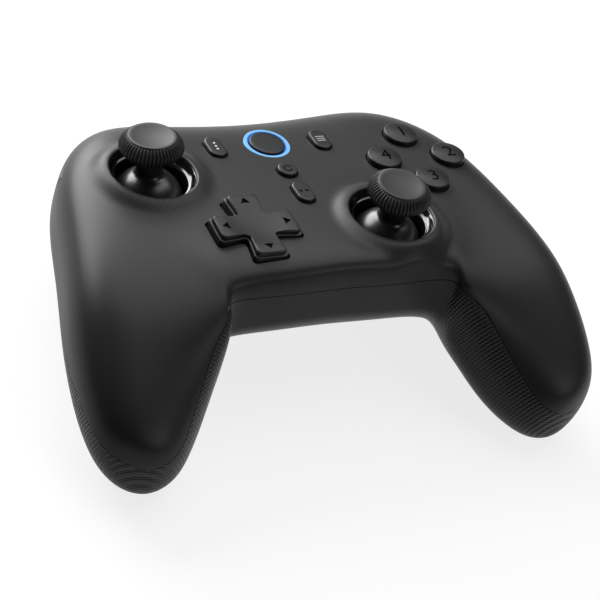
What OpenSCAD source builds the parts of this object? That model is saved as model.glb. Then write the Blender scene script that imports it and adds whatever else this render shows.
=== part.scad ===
// Gamepad controller: two moulded shells around a board, with sticks, cross pad, buttons,
// bumpers and triggers as separate moving pieces.
// Frame: +X to the player's right, +Y away from the player, +Z up, grips standing on Z = 0.

/* [Body] */
// Width over the two grips
body_w = 157.5; // [150:0.5:166]
// Depth of the shells from grip tips to back edge
body_d = 113.5; // [110:0.5:120]
// Wall of both shells
wall = 2.2; // [1.8:0.1:2.6]
// Depth of the flat cut on the belly
belly_flat = 0.6; // [0.4:0.1:0.8]
// Clearance between a moving key and its hole
key_gap = 0.35; // [0.3:0.05:0.5]
// Radial clearance of a pin in its bore
pin_gap = 0.05; // [0.03:0.01:0.08]
// Clearance of a fixed piece in its seat
seat_gap = 0.05; // [0.02:0.01:0.1]

/* [Deck] */
// Backward tilt of the control deck
deck_tilt = 4; // [2:0.5:6]
// Depth of the board's top under the home button
board_depth = 15.6; // [15.2:0.1:16.4]
// Thickness of the circuit board
board_t = 1.6; // [1.2:0.1:2]

/* [Sticks] */
// Left stick's distance from the middle
left_stick_x = -41; // [-43:0.5:-40]
// Left stick's place behind the home button
left_stick_y = -11.5; // [-13:0.5:-10]
// Left stick's lean at rest, back and out
left_stick_lean = [4, 5]; // [0:1:5]
// Right stick's distance from the middle
right_stick_x = 21.5; // [20:0.5:23]
// Right stick's place behind the home button
right_stick_y = -39; // [-40:0.5:-38]
// Right stick's lean at rest, back and out
right_stick_lean = [-3, -1]; // [-3:1:3]
// Radius of the well's opening
well_r = 12.3; // [11.8:0.1:12.6]
// Height of the raised collar over the face
collar_h = 1.7; // [1.2:0.1:2.4]
// Outer radius of the collar's mound
collar_r = 17.5; // [16.5:0.5:18]
// Depth of the stick's pivot under the collar's rim
pivot_depth = 11; // [10.5:0.1:11.5]
// Radius of the glossy dome around the pivot
dome_r = 8.8; // [8.6:0.1:9]
// Radius of the stick's neck
neck_r = 3.8; // [3.4:0.1:4.2]
// Radius of the stick's cap
cap_r = 9.2; // [8.6:0.1:9.6]
// Height of the cap
cap_h = 6.2; // [5.5:0.1:6.8]
// Height of the cap's top over the collar's rim
cap_rise = 11.2; // [10.5:0.1:12.5]
// Depth of the dish in the cap
dish = 0.9; // [0.5:0.1:1.2]
// Travel of the stick's click
click_travel = 0.6; // [0.4:0.1:0.8]

/* [Cross pad] */
// Cross pad's distance from the middle
pad_x = -21.3; // [-23:0.5:-20]
// Cross pad's place in front of the home button
pad_y = -39; // [-40:0.5:-38]
// Length of the cross from tip to tip
pad_len = 24; // [23:0.5:25]
// Width of an arm at the middle
pad_arm = 7.6; // [7:0.1:8.4]
// Width of an arm at its tip
pad_tip = 9; // [8.4:0.1:9.6]
// Height of the cross over the face
pad_rise = 2.6; // [2.2:0.1:3.2]

/* [Buttons] */
// Face button group's distance from the middle
keys_x = 43.1; // [42:0.1:44]
// Face button group's place in front of the home button
keys_y = -12.6; // [-13:0.1:-11.5]
// Distance of a face button from the group's centre
keys_pitch = 10.8; // [10.4:0.1:11.4]
// Radius of a face button
key_r = 5.1; // [4.8:0.1:5.3]
// Height of a face button over the face
key_rise = 2.2; // [2:0.1:3]
// Travel of a face button
key_travel = 1.3; // [0.8:0.1:1.4]
// Radius of the home button
home_r = 5.3; // [5:0.1:5.6]
// Height of the home button over the face
home_rise = 0.8; // [0.6:0.1:1]
// Outer radius of the light ring
ring_r = 6.9; // [6.7:0.1:7.2]
// Distance of the two upper pills from the middle
menu_x = 16.9; // [16:0.1:18]
// Width of a pill button
pill_w = 5.4; // [5:0.1:5.8]
// Length of a pill button
pill_len = 9.2; // [8.6:0.1:10]
// Place of the round button in front of the home button
round_y = -14.2; // [-15:0.1:-13.5]
// Radius of the round button
round_r = 3; // [2.8:0.1:3.3]
// Place of the lower pill in front of the home button
share_y = -25.1; // [-26:0.1:-24]
// Height of the small buttons over the face
small_rise = 1.2; // [0.8:0.1:1.5]
// Travel of the small buttons
small_travel = 0.6; // [0.4:0.1:0.8]

/* [Shoulders] */
// Level of the bumper's top under the home button
bumper_top = -9; // [-10:0.5:-8.5]
// Level of the bumper's bottom under the home button
bumper_low = -18.5; // [-19:0.5:-18]
// Thickness of a bumper
bumper_t = 2.4; // [2:0.1:2.6]
// Distance of the bumper's pivot from the middle
bumper_pivot_x = 17.5; // [16.5:0.5:18.5]
// Width of a trigger
trigger_w = 21.5; // [20:0.5:22]
// Reach of the trigger's tip behind the back edge
trigger_reach = 5; // [4:0.5:6]
// Level of the trigger's tip under the home button
trigger_tip = -33; // [-34:0.5:-31]
// Radius of the trigger's pin
pin_r = 1.5; // [1.2:0.1:1.6]

/* [Insides] */
// Size of the battery pack
battery = [44, 30, 9]; // [8:1:46]
// Radius of a rumble motor's can
motor_r = 7; // [6:0.5:7.5]
// Length of a rumble motor's can
motor_len = 14; // [12:0.5:15]
// Radius of the eccentric weight
weight_r = 7.6; // [6.5:0.1:8]
// Radius of the screws' shanks
screw_r = 1.2; // [1:0.1:1.3]
// Radius of the screws' heads
screw_head_r = 2.4; // [2:0.1:2.6]

/* [Hidden] */
$fn = 64;
charcoal = "#2c2d2f";
satin_black = "#1d1e20";
gloss_black = "#0c0c0e";
rubber_black = "#222224";
steel = "#b9bcc0";
board_green = "#1f5a3a";
led_blue = "#5ab4f0";
cell_blue = "#3b5f8f";
copper = "#c08a4a";

// Half outline of the body seen from above, front middle to back middle, from the home button
plan_w = 157.5;
plan_d = 113.5;
plan = [[0, -57.4], [16, -58.2], [37, -56.8], [34.5, -64], [38.5, -69], [43, -75.5], [50, -85], [58, -93],
    [76, -88.5], [79, -75], [78.5, -61], [76.5, -47.5], [70, -24], [63.5, 5], [46, 23.5], [26, 22.5], [0, 21]];
// How far the body and what stands in it are stretched from that outline
wide = body_w / plan_w;
deep = body_d / plan_d;
function stretched(p) = [p[0] * wide, p[1] * deep];
outline = [for (p = plan) stretched(p)];
last = len(outline) - 1;
// Place of the grip's tip along the outline, and its level
tip_u = 7.35;
tip_z = -32.5;
tip_blend = 6;
tip_round = 8;
// Profiles from the middle to the grip's tip: edge levels, crown, belly and how square they are
front_z = [-13.7, -15.2, -20.6, -31, -39];
back_z = [-23.5, -19.5, -16.5, -22.5, -31];
crown = [19.6, 18.5, 19.4, 17, 12.5];
belly = [19, 16, 15, 16.5, 13];
front_power = [9, 8, 4.5, 2.6, 2.2];
back_power = [3.2, 3.5, 3.4, 2.5, 2.2];
belly_power = [2.6, 2.6, 2.4, 2.2, 2.1];
belly_front_power = [1.9, 2, 2.3, 2.2, 2.1];
// Parting line over the edge: in front a share of the crown, behind an angle
seam_front = [0.49, 0.52, 0.9, 0.74, 0.5];
seam_back = [0, -4, -6, 0, 16];
// Gap between the shells along that line, in front as a length and behind as an angle
seam_gap = 0.15;
seam_turn = 0.15;

// Home button's place in the part's frame
home = [0, 31.5, 44.1];
rows = 26;
cols = 16;
row_end = 0.997;
cavity_reach = 0.94;
// Inner posts and ribs end this deep under the skin, inside the wall
trim_depth = wall - 0.5;

function basis(w) =
    [pow(1 - w, 3), 3 * pow(w, 3) - 6 * w * w + 4, -3 * pow(w, 3) + 3 * w * w + 3 * w + 1, pow(w, 3)] / 6;
function spline(c, u) =
    let (i = max(0, min(len(c) - 4, floor(u))), b = basis(u - i))
    b[0] * c[i] + b[1] * c[i + 1] + b[2] * c[i + 2] + b[3] * c[i + 3];
function flip(p) = [-p[0], p[1]];
edge = concat([flip(outline[1])], outline, [flip(outline[last - 1])]);
function along(v, t) =
    let (n = len(v) - 1)
    spline(concat([v[1]], v, [2 * v[n] - v[n - 1]]), t * n);

// One cross-section of the body: both edge points, their levels, crown, belly and powers
function station(t) =
    let (w = pow(t, tip_blend), r = sqrt(max(0, 1 - pow(t, tip_round))))
    [spline(edge, tip_u * t), spline(edge, last - (last - tip_u) * t),
        along(front_z, t) * (1 - w) + tip_z * w, along(back_z, t) * (1 - w) + tip_z * w,
        along(crown, t) * r, along(belly, t) * r,
        along(front_power, t), along(back_power, t), along(belly_power, t), along(belly_front_power, t)];

// Point of a cross-section at angle a: 0 at the front edge, 90 on top, 180 at the back edge
function skin(s, a) =
    let (c = cos(a), k = (1 - c) / 2, top = sin(a) >= 0, n = top ? (c > 0 ? s[6] : s[7]) : c > 0 ? s[9] : s[8],
        lift = (top ? s[4] : -s[5]) * pow(max(0, 1 - pow(abs(c), n)), 1 / n),
        p = s[0] * (1 - k) + s[1] * k)
    [p[0], p[1], s[2] * (1 - k) + s[3] * k + lift] + home;
function unit(v) = v / norm(v);

// The same point sunk under the surface by a depth
function sunk(t, a, depth) =
    let (dt = 0.01, da = 3, t1 = min(row_end, t + dt), t0 = max(0, t1 - 2 * dt), s = station(t),
        du = skin(station(t1), a) - skin(station(t0), a), dv = skin(s, a + da) - skin(s, a - da),
        n = unit(cross(du, dv)), p = skin(s, a) - n * depth)
    [t > 0 ? p[0] : 0, p[1], p[2]];
function sided(side, p) = [p[0] * side, p[1], p[2]];

// Faces of a grid of m by n cells, starting at an index, turned over if asked
function cells(m, n, start, over) =
    [for (i = [0 : m - 1], j = [0 : n - 1])
        let (a = start + i * (n + 1) + j, b = a + n + 1)
        for (f = [[a, a + 1, b + 1], [a, b + 1, b]]) over ? [f[2], f[1], f[0]] : f];
// Wall between two rows of indices
function strip(upper, lower) =
    [for (i = [0 : len(upper) - 2])
        for (f = [[upper[i], upper[i + 1], lower[i + 1]], [upper[i], lower[i + 1], lower[i]]]) f];

// A curved sheet of the body between two angles, from the skin down to a depth.
// Rows are signed: negative ones lie on the left half.
module sheet(signed_rows, low, high, depth, reach) {
    m = len(signed_rows) - 1;
    n = cols;
    size = (m + 1) * (n + 1);
    points = [for (layer = [0, 1], r = signed_rows, j = [0 : n])
        let (t = abs(r), a = low(t) + (high(t) - low(t)) * (1 - cos(180 * j / n)) / 2)
        sided(r < 0 ? -1 : 1, layer == 0 ? skin(station(t), a) : sunk(t * reach, a, depth))];
    first = [for (i = [0 : m]) i * (n + 1)];
    final = [for (i = [0 : m]) i * (n + 1) + n];
    left = [for (j = [0 : n]) j];
    right = [for (j = [0 : n]) m * (n + 1) + j];
    inner = function(list) [for (i = list) i + size];
    faces = concat(cells(m, n, 0, false), cells(m, n, size, true),
        strip(first, inner(first)), strip(inner(final), final),
        strip(inner(left), left), strip(right, inner(right)));
    polyhedron(points, faces, convexity = 8);
}

// The whole body as one solid, sunk by a depth, to trim what stands inside it
module core(depth) {
    half = 20;
    around = 24;
    list = [for (i = [-half : half]) sin(90 * i / half) * 0.96];
    points = [for (r = list, j = [0 : around - 1])
        sided(r < 0 ? -1 : 1, sunk(abs(r), 360 * (j + 0.5) / around, depth))];
    m = len(list) - 1;
    side_faces = [for (i = [0 : m - 1], j = [0 : around - 1])
        let (k = (j + 1) % around, a = i * around, b = a + around)
        for (f = [[a + j, a + k, b + k], [a + j, b + k, b + j]]) f];
    ends = concat([[for (j = [around - 1 : -1 : 0]) j]], [[for (j = [0 : around - 1]) m * around + j]]);
    polyhedron(points, concat(side_faces, ends), convexity = 8);
}

// Level of the face over a place seen from above, both measured from the home button
function beside(t, p) =
    let (s = station(t), d = s[1] - s[0], e = p - s[0])
    d[0] * e[1] - d[1] * e[0];
function row_at(p, lo = 0, hi = 1, n = 18) =
    let (m = (lo + hi) / 2)
    n == 0 ? m : beside(m, p) < 0 ? row_at(p, m, hi, n - 1) : row_at(p, lo, m, n - 1);
function face_z(p) =
    let (q = [abs(p[0]), p[1]], s = station(row_at(q)), d = s[1] - s[0], k = (q - s[0]) * d / (d * d),
        n = k < 0.5 ? s[6] : s[7])
    s[2] * (1 - k) + s[3] * k + s[4] * pow(1 - pow(abs(2 * k - 1), n), 1 / n);
// The same place in the deck's own frame
function on_deck(p) =
    let (z = face_z(p))
    [p[0], p[1] * cos(deck_tilt) - z * sin(deck_tilt), p[1] * sin(deck_tilt) + z * cos(deck_tilt)];

all_rows = [for (i = [-rows : rows]) sin(90 * i / rows) * row_end];
// Angle of the front parting line, lowered by a gap
function seam_angle(t, gap = 0) =
    let (n = along(front_power, t), h = along(seam_front, t) - gap / along(crown, t))
    acos(pow(1 - pow(h, n), 1 / n));
front_low = function(t) seam_angle(t);
front_high = function(t) 180 - along(seam_back, t);
back_low = function(t) front_high(t) + seam_turn;
back_high = function(t) 360 + seam_angle(t, seam_gap);

// Places of the controls on the deck: all follow the body's width, the front pair its depth too
left_well = on_deck([left_stick_x * wide, left_stick_y]) + [0, 0, collar_h];
right_well = on_deck(stretched([right_stick_x, right_stick_y])) + [0, 0, collar_h];
key_turns = [[0, 1], [1, 0], [0, -1], [-1, 0]];
keys_place = [keys_x * wide, keys_y];
key_at = [for (d = key_turns) on_deck(keys_place + d * keys_pitch)];
keys_mid = on_deck(keys_place);
home_at = on_deck([0, 0]);
small_places = [[-menu_x, -0.7], [menu_x, -0.7], [0, round_y], [0, share_y]];
small_at = [for (p = small_places) on_deck([p[0] * wide, p[1]])];
pad_at = stretched([pad_x, pad_y]);
board_z = -board_depth;
// Level of the keys' flanges under the face, and their thickness
flange_drop = wall + 1.8;
flange_t = 1;
flange_lip = 1;

// Shoulder frame: middle of the right bumper along the back edge, turned with the edge
shoulder_row = 0.195;
shoulder_from = station(0.13)[1];
shoulder_to = station(0.31)[1];
shoulder_mid = station(shoulder_row)[1];
shoulder_turn = atan2(shoulder_to[1] - shoulder_from[1], shoulder_to[0] - shoulder_from[0]);
pivot_y = -12;
pivot_z = -15;
hub_r = pin_r + 1.8;
ear_t = 1.6;
ear_x = trigger_w / 2 + 0.4;
// The bumper's pivot keeps its place beside that frame, and its reach ends at the body's side
bumper_pivot = [bumper_pivot_x, 12.5] + [shoulder_mid[0] * (1 - 1 / wide), shoulder_mid[1] * (1 - 1 / deep)];
bumper_reach = 46 + 24 * (wide - 1);
bumper_end_x = bumper_pivot[0] + 8;
bumper_gap = 0.4;

// Screw posts on the right half: place from the home button and the level where the shells meet
posts = [[29 * wide, -22, -18], [60 * wide, -65 * deep, -30]];
post_r = 3.4;
motor_at = [55 * wide, -47 * deep, -21];

module deck(p = [0, 0, 0]) {
    translate(home) rotate([-deck_tilt, 0, 0]) translate(p) children();
}
module shoulder() {
    translate(home + [shoulder_mid[0], shoulder_mid[1], 0]) rotate([0, 0, shoulder_turn]) children();
}
module left_side() {
    mirror([1, 0, 0]) children();
}
module both_sides() {
    children();
    left_side() children();
}
module tube(r_out, r_in, h) {
    difference() {
        cylinder(r = r_out, h = h);
        translate([0, 0, -1]) cylinder(r = r_in, h = h + 2);
    }
}
// Upright prism with half-round ends, its long axis along Y
module pill(w, len, h) {
    for (s = [-1, 1]) translate([0, s * (len - w) / 2, 0]) cylinder(r = w / 2, h = h);
    translate([-w / 2, -(len - w) / 2, 0]) cube([w, len - w, h]);
}
// Flat cross with flared arms and rounded tips
module cross_shape(grow) {
    n = pad_arm / 2 + grow;
    e = pad_tip / 2 + grow;
    l = pad_len / 2 + grow;
    corner = 1.4;
    for (k = [0 : 3]) rotate(90 * k)
        polygon(concat([[-n, 0], [n, 0], [n, n]],
            [for (a = [0 : 15 : 90]) [e - corner + corner * cos(a), l - corner + corner * sin(a)]],
            [for (a = [90 : 15 : 180]) [-e + corner + corner * cos(a), l - corner + corner * sin(a)]],
            [[-n, n]]));
}

// Raised ring around a stick's well, its origin at the middle of the rim
module collar() {
    lip = 1;
    foot = collar_h + 1.4;
    steps = 8;
    rotate_extrude()
        polygon(concat([[well_r - 1, -foot], [well_r - 1, -1.4], [well_r + 0.4, 0]],
            [for (i = [0 : steps])
                let (w = i / steps, r = well_r + lip + (collar_r - well_r - lip) * w)
                [r, -(1 - cos(180 * w)) / 2 * (foot - 0.4)]],
            [[collar_r, -foot]]));
}

module bumper_space(gap) {
    translate(home + [bumper_pivot[0], bumper_pivot[1], bumper_low - gap])
        intersection() {
            cylinder(r = bumper_reach + gap, h = bumper_top - bumper_low + 2 * gap, $fn = 96);
            translate([bumper_end_x - bumper_pivot[0] - gap, -20, -1]) cube([60, 60, 30]);
        }
}

// Openings through the face and the back edge
module front_holes() {
    deep = 6;
    pad_place() translate([0, 0, -deep]) linear_extrude(2 * deep) cross_shape(pad_skirt + key_gap + 0.15);
    for (k = key_at) deck(k) translate([0, 0, -deep]) cylinder(r = key_r + key_gap, h = 2 * deep);
    deck(home_at) translate([0, 0, -deep]) cylinder(r = ring_r + seat_gap, h = 2 * deep);
    for (i = [0, 1, 3]) deck(small_at[i]) translate([0, 0, -deep])
        pill(pill_w + 2 * key_gap, pill_len + 2 * key_gap, 2 * deep);
    deck(small_at[2]) translate([0, 0, -deep]) cylinder(r = round_r + key_gap, h = 2 * deep);
    both_sides() bumper_space(bumper_gap);
    both_sides() trigger_space();
    usb_place() usb_slot(0.3, 12);
}
module front_shell() {
    color(charcoal)
    difference() {
        union() {
            difference() {
                sheet(all_rows, front_low, front_high, wall, cavity_reach);
                front_holes();
            }
            intersection() {
                core(trim_depth);
                union() {
                    both_sides() front_posts();
                    both_sides() bumper_pin();
                }
            }
            deck(left_well) collar();
            deck(right_well) collar();
        }
        for (w = [left_well, right_well]) deck(w) translate([0, 0, -8]) cylinder(r = well_r, h = 12);
        both_sides() post_pilots();
    }
}

module front_posts() {
    for (p = posts) translate(home + [p[0], p[1], p[2]]) cylinder(r = post_r, h = 40);
}
module post_pilots() {
    for (p = posts) translate(home + [p[0], p[1], p[2] - 1]) cylinder(r = screw_r + seat_gap, h = 8);
}
// Round post that hangs from the roof and carries the bumper
module bumper_pin() {
    translate(home + [bumper_pivot[0], bumper_pivot[1], bumper_low - 0.5]) cylinder(r = pin_r, h = 40);
}

module back_posts() {
    for (p = posts) translate(home + [p[0], p[1], p[2] - 40]) cylinder(r = post_r, h = 40);
}
// Hole for the shank and a deep bore for the head
module post_bores() {
    for (p = posts) translate(home + [p[0], p[1], p[2]]) {
        translate([0, 0, -4]) cylinder(r = screw_r + seat_gap, h = 5);
        translate([0, 0, -43]) cylinder(r = screw_head_r + 0.2, h = 40);
    }
}
motor_foot = 2;
module motor_cradle() {
    difference() {
        for (x = [2, motor_len - 4]) translate(home + motor_at + [x - motor_len / 2, -motor_r, -30])
            cube([motor_foot, 2 * motor_r, 30]);
        translate(home + motor_at) rotate([0, 90, 0]) cylinder(r = motor_r + seat_gap, h = 40, center = true);
    }
}
battery_at = [0, -19 * deep, -31];
module battery_rails() {
    for (x = [-0.3, 0.3]) deck(battery_at + [battery[0] * x - 1, -battery[1] / 2, -30])
        cube([2, battery[1], 30]);
}
// Notch at the back where a trigger reaches out
module trigger_space() {
    shoulder() translate([-trigger_w / 2 - 0.5, pivot_y + hub_r - 2, -60])
        cube([trigger_w + 1, 40, 60 + bumper_low - 0.2]);
}

module back_shell() {
    color(charcoal)
    difference() {
        union() {
            sheet(all_rows, back_low, back_high, wall, cavity_reach);
            intersection() {
                core(trim_depth);
                union() {
                    both_sides() back_posts();
                    both_sides() motor_cradle();
                    battery_rails();
                }
            }
        }
        both_sides() post_bores();
        both_sides() bumper_space(bumper_gap);
        both_sides() trigger_space();
        translate(home + [-rest_w / 2, -rest_back, belly_low + belly_flat - 20]) cube([rest_w, rest_len, 20]);
    }
}
// Flat rest cut on the belly
rest_w = 48;
rest_len = 48;
rest_back = 42;
belly_low = skin(station(0), 270)[2] - home[2];

// Shoulder pieces, drawn on the right
module bumper() {
    span = function(t) 150;
    under = function(t) 186;
    near = 0.06;
    far = 0.46;
    steps = 16;
    list = [for (i = [0 : steps]) near + (far - near) * i / steps];
    arm_t = 1.8;
    arm_y = 0.8;
    arm_h = bumper_top - pivot_z - hub_r - 0.4;
    reach = bumper_end_x + 2 - bumper_pivot[0];
    h = bumper_top - bumper_low;
    intersection() {
        sheet(list, span, under, bumper_t, 1);
        bumper_space(0);
    }
    translate(home + [bumper_pivot[0], bumper_pivot[1], bumper_low]) {
        tube(pin_r + 1.2, pin_r + pin_gap, h);
        translate([pin_r + 0.4, arm_y, h - arm_h]) cube([reach - pin_r - 0.4, arm_t, arm_h]);
        translate([reach - arm_t, arm_y, h - arm_h]) cube([arm_t, 7, arm_h]);
    }
}
module right_bumper() color(charcoal) bumper();
module left_bumper() color(charcoal) left_side() bumper();

module trigger() {
    tip = [trigger_reach, trigger_tip];
    top = bumper_low - 0.7;
    shoulder() difference() {
        intersection() {
            rotate([90, 0, 90]) translate([0, 0, -trigger_w / 2]) {
                translate([pivot_y, pivot_z, 0]) cylinder(r = hub_r, h = trigger_w);
                linear_extrude(trigger_w)
                    polygon([[pivot_y - hub_r + 0.4, pivot_z], [pivot_y + hub_r, top], [1.2, top],
                        [3.2, top - 1.8], [tip[0] - 1.2, (top + tip[1]) / 2 - 1], tip + [0, 0.8], tip,
                        tip + [-1.4, -0.6], [0, tip[1] + 3], [pivot_y + 4, top - 4.5]]);
            }
            translate([0, 0, -60]) linear_extrude(60) trigger_plan();
        }
        translate([0, pivot_y, pivot_z]) rotate([0, 90, 0])
            cylinder(r = pin_r + pin_gap, h = 60, center = true);
        translate([-spring_len / 2 - 0.3, pivot_y - 6, pivot_z - 5]) cube([spring_len + 0.6, 12, 20]);
    }
}
spring_len = 6;
// Outline of a trigger from above: an arc across its front, square towards the hub
module trigger_plan() {
    bow = 3;
    half = trigger_w / 2;
    far = trigger_reach + 1;
    ball = (half * half + bow * bow) / (2 * bow);
    intersection() {
        translate([0, far - ball]) circle(r = ball, $fn = 128);
        translate([-half, pivot_y - 8]) square([trigger_w, 8 - pivot_y + far + 1]);
    }
}
module right_trigger() color(satin_black) trigger();
module left_trigger() color(satin_black) left_side() trigger();

module trigger_pins() {
    color(steel) both_sides() shoulder() translate([0, pivot_y, pivot_z]) rotate([0, 90, 0])
        cylinder(r = pin_r, h = 2 * (ear_x + ear_t), center = true);
}
module spring() {
    shoulder() translate([-spring_len / 2, pivot_y, pivot_z]) rotate([0, 90, 0])
        tube(pin_r + 1.3, pin_r + 0.3, spring_len);
}
module right_trigger_spring() color(steel) spring();
module left_trigger_spring() color(steel) left_side() spring();

// Bracket with two ears for the trigger's pin and a wall in front of its hub
bracket_t = 1.8;
bracket_y = pivot_y - hub_r - 0.3;
module bracket() {
    w = 2 * (ear_x + ear_t);
    shoulder() difference() {
        union() {
            translate([-w / 2, bracket_y - bracket_t, pivot_z - 6]) cube([w, bracket_t, 12]);
            for (s = [-1, 1]) translate([s * (ear_x + ear_t / 2) - ear_t / 2, bracket_y - 1, pivot_z - 3])
                cube([ear_t, hub_r + 4.4, 6]);
        }
        translate([0, pivot_y, pivot_z]) rotate([0, 90, 0])
            cylinder(r = pin_r + seat_gap, h = 60, center = true);
    }
}
module right_shoulder_bracket() color(satin_black) bracket();
module left_shoulder_bracket() color(satin_black) left_side() bracket();

// Small switches on the brackets' walls, over the hubs
module bumper_switches() {
    body = [5, 4, 3];
    color(gloss_black) both_sides() shoulder()
        translate([spring_len / 2 + 1, bracket_y, pivot_z + hub_r + 0.4]) {
            cube(body);
            translate([body[0] / 2, body[1], body[2] / 2]) rotate([-90, 0, 0]) cylinder(r = 1, h = 3);
        }
}

// Socket at the back
usb_w = 8.9;
usb_h = 3.2;
usb_depth = 8;
back_wall = station(0)[1][1];
module usb_place() {
    deck([0, back_wall - usb_depth + 0.4, board_z + usb_h / 2]) children();
}
module usb_slot(grow, depth) {
    r = usb_h / 2 + grow;
    for (s = [-1, 1]) translate([s * (usb_w - usb_h) / 2, 0, 0]) rotate([-90, 0, 0]) cylinder(r = r, h = depth);
    translate([-(usb_w - usb_h) / 2, 0, -r]) cube([usb_w - usb_h, depth, 2 * r]);
}
module usb_socket() {
    color(steel) usb_place() difference() {
        usb_slot(0, usb_depth);
        translate([0, 1, 0]) usb_slot(-0.3, usb_depth);
    }
}
module usb_tongue() {
    color(gloss_black) usb_place() translate([-3.3, 1, -0.35]) cube([6.6, usb_depth - 2, 0.7]);
}

// Board and what sits on it
board_back = back_wall - 4.5;
module board_plan() {
    w = 52 * wide;
    tab = 12;
    side = [[w, -24 * deep], [w, 4 * deep], [tab + 1, board_back], [-tab - 1, board_back], [-w, 4 * deep]];
    polygon(concat([[-w, -24 * deep], [-34 * wide, -47 * deep], [34 * wide, -47 * deep]], side));
}
// Room that the posts, the bumpers' hubs and the brackets need in the board
module board_room() {
    for (p = posts) translate(home + [p[0], p[1], -60]) cylinder(r = post_r + 0.5, h = 80);
    translate(home + [bumper_pivot[0], bumper_pivot[1], -60]) cylinder(r = pin_r + 4, h = 80);
    shoulder() translate([-60, bracket_y - bracket_t - seat_gap, -60]) cube([120, 60, 80]);
}
module main_board() {
    color(board_green) difference() {
        deck([0, 0, board_z - board_t]) linear_extrude(board_t) board_plan();
        both_sides() board_screw_holes();
        both_sides() board_room();
    }
}
board_screw_at = [stretched([9, -33]), [43 * wide, -31]];
module board_screw_holes() {
    for (p = board_screw_at) deck([p[0], p[1], board_z - 5]) cylinder(r = screw_r + seat_gap, h = 10);
}
module board_screws() {
    color(steel) both_sides() for (p = board_screw_at) deck([p[0], p[1], board_z]) {
        cylinder(r = screw_head_r - 0.3, h = 1.2);
        translate([0, 0, -4]) cylinder(r = screw_r, h = 4);
    }
}
module case_screws() {
    color(steel) both_sides() for (p = posts) translate(home + [p[0], p[1], p[2]]) {
        translate([0, 0, -4.6]) cylinder(r = screw_head_r, h = 1.6);
        translate([0, 0, -3.5]) cylinder(r = screw_r, h = 9);
    }
}
module battery_pack() {
    color(cell_blue) deck(battery_at) translate([-battery[0] / 2, -battery[1] / 2, 0]) cube(battery);
}
switch_size = 6;
switch_h = 3.4;
module key_switches() {
    color(gloss_black) for (p = concat([home_at], small_at)) deck([p[0], p[1], board_z]) {
        translate([-switch_size / 2, -switch_size / 2, 0]) cube([switch_size, switch_size, switch_h]);
        cylinder(r = 1.6, h = switch_h + 0.8);
    }
}
module status_leds() {
    color("white") for (s = [-1, 1]) deck([home_at[0] + s * 6.2 - 0.8, home_at[1] - 0.8, board_z]) cube(1.6);
}

// Rubber sheets with a dome under each contact
dome_h = 4;
module membrane_dome(r) {
    rotate_extrude() polygon([[0, 0], [r, 0], [r * 0.8, dome_h - 0.6], [r * 0.65, dome_h], [0, dome_h]]);
}
module key_membrane() {
    color(rubber_black) difference() {
        deck([keys_mid[0], keys_mid[1], board_z]) {
            cylinder(r = keys_pitch + 2, h = 1);
            for (d = key_turns) translate([d[0] * keys_pitch, d[1] * keys_pitch, 0]) membrane_dome(4);
        }
        board_room();
    }
}
pad_reach = 6.6;
// Place on the board under the middle of the cross pad
pad_under = [pad_at[0], (pad_at[1] - board_z * sin(deck_tilt)) / cos(deck_tilt)];
module pad_membrane() {
    color(rubber_black) deck([pad_under[0], pad_under[1], board_z]) difference() {
        union() {
            cylinder(r = pad_reach + 2.8, h = 1);
            for (d = key_turns) translate([d[0] * pad_reach, d[1] * pad_reach, 0]) membrane_dome(2.6);
        }
        translate([0, 0, -1]) cylinder(r = 3, h = 10);
    }
}

// Keys: a body through the face, a flange under it and a stem down to the contact
module key(r, rise, bottom, crown_h) {
    ball = (r * r + crown_h * crown_h) / (2 * crown_h);
    intersection() {
        translate([0, 0, -flange_drop]) cylinder(r = r, h = flange_drop + rise);
        translate([0, 0, rise - ball]) sphere(r = ball, $fn = 96);
    }
    translate([0, 0, -flange_drop - flange_t]) cylinder(r = r + flange_lip, h = flange_t);
    translate([0, 0, bottom]) cylinder(r = 2, h = -flange_drop - bottom);
}
module face_key(i) {
    bottom = board_z - key_at[i][2] + dome_h + key_travel + 0.2;
    color(satin_black) deck(key_at[i]) key(key_r, key_rise, bottom, 0.7);
}
module face_button_top() face_key(0);
module face_button_right() face_key(1);
module face_button_bottom() face_key(2);
module face_button_left() face_key(3);

home_travel = 0.5;
module home_button() {
    bottom = board_z - home_at[2] + switch_h + 0.8 + home_travel + 0.2;
    color(satin_black) deck(home_at) {
        translate([0, 0, -ring_depth - 0.8]) cylinder(r = home_r, h = ring_depth + 0.8 + home_rise);
        translate([0, 0, -ring_depth - 1.6]) cylinder(r = home_r + 0.8, h = 1);
        translate([0, 0, bottom]) cylinder(r = 1.6, h = -ring_depth - 1 - bottom);
    }
}
ring_depth = wall + 2.4;
ring_rise = 0.4;
module light_ring() {
    color(led_blue) deck(home_at) translate([0, 0, -ring_depth]) {
        tube(ring_r, home_r + 0.3, ring_depth + ring_rise);
        tube(ring_r + 1, home_r + 0.3, 0.8);
    }
}
module small_key(i) {
    bottom = board_z - small_at[i][2] + switch_h + 0.8 + small_travel + 0.2;
    color(satin_black) deck(small_at[i]) {
        if (i == 2) {
            translate([0, 0, -flange_drop]) cylinder(r = round_r, h = flange_drop + small_rise);
            translate([0, 0, -flange_drop - flange_t]) cylinder(r = round_r + 0.8, h = flange_t);
        } else {
            translate([0, 0, -flange_drop]) pill(pill_w, pill_len, flange_drop + small_rise);
            translate([0, 0, -flange_drop - flange_t]) pill(pill_w + 1.6, pill_len + 1, flange_t);
        }
        translate([0, 0, bottom]) cylinder(r = 1.5, h = -flange_drop - bottom);
    }
}
module view_button() small_key(0);
module menu_button() small_key(1);
module round_button() small_key(2);
module share_button() small_key(3);

// Cross pad, level, which rocks on a nub that rests on the board
pad_flange_r = pad_len / 2 - 0.5;
pad_drop = wall + 2.3;
pad_skirt = 0.6;
pad_z = face_z(pad_at);
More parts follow.
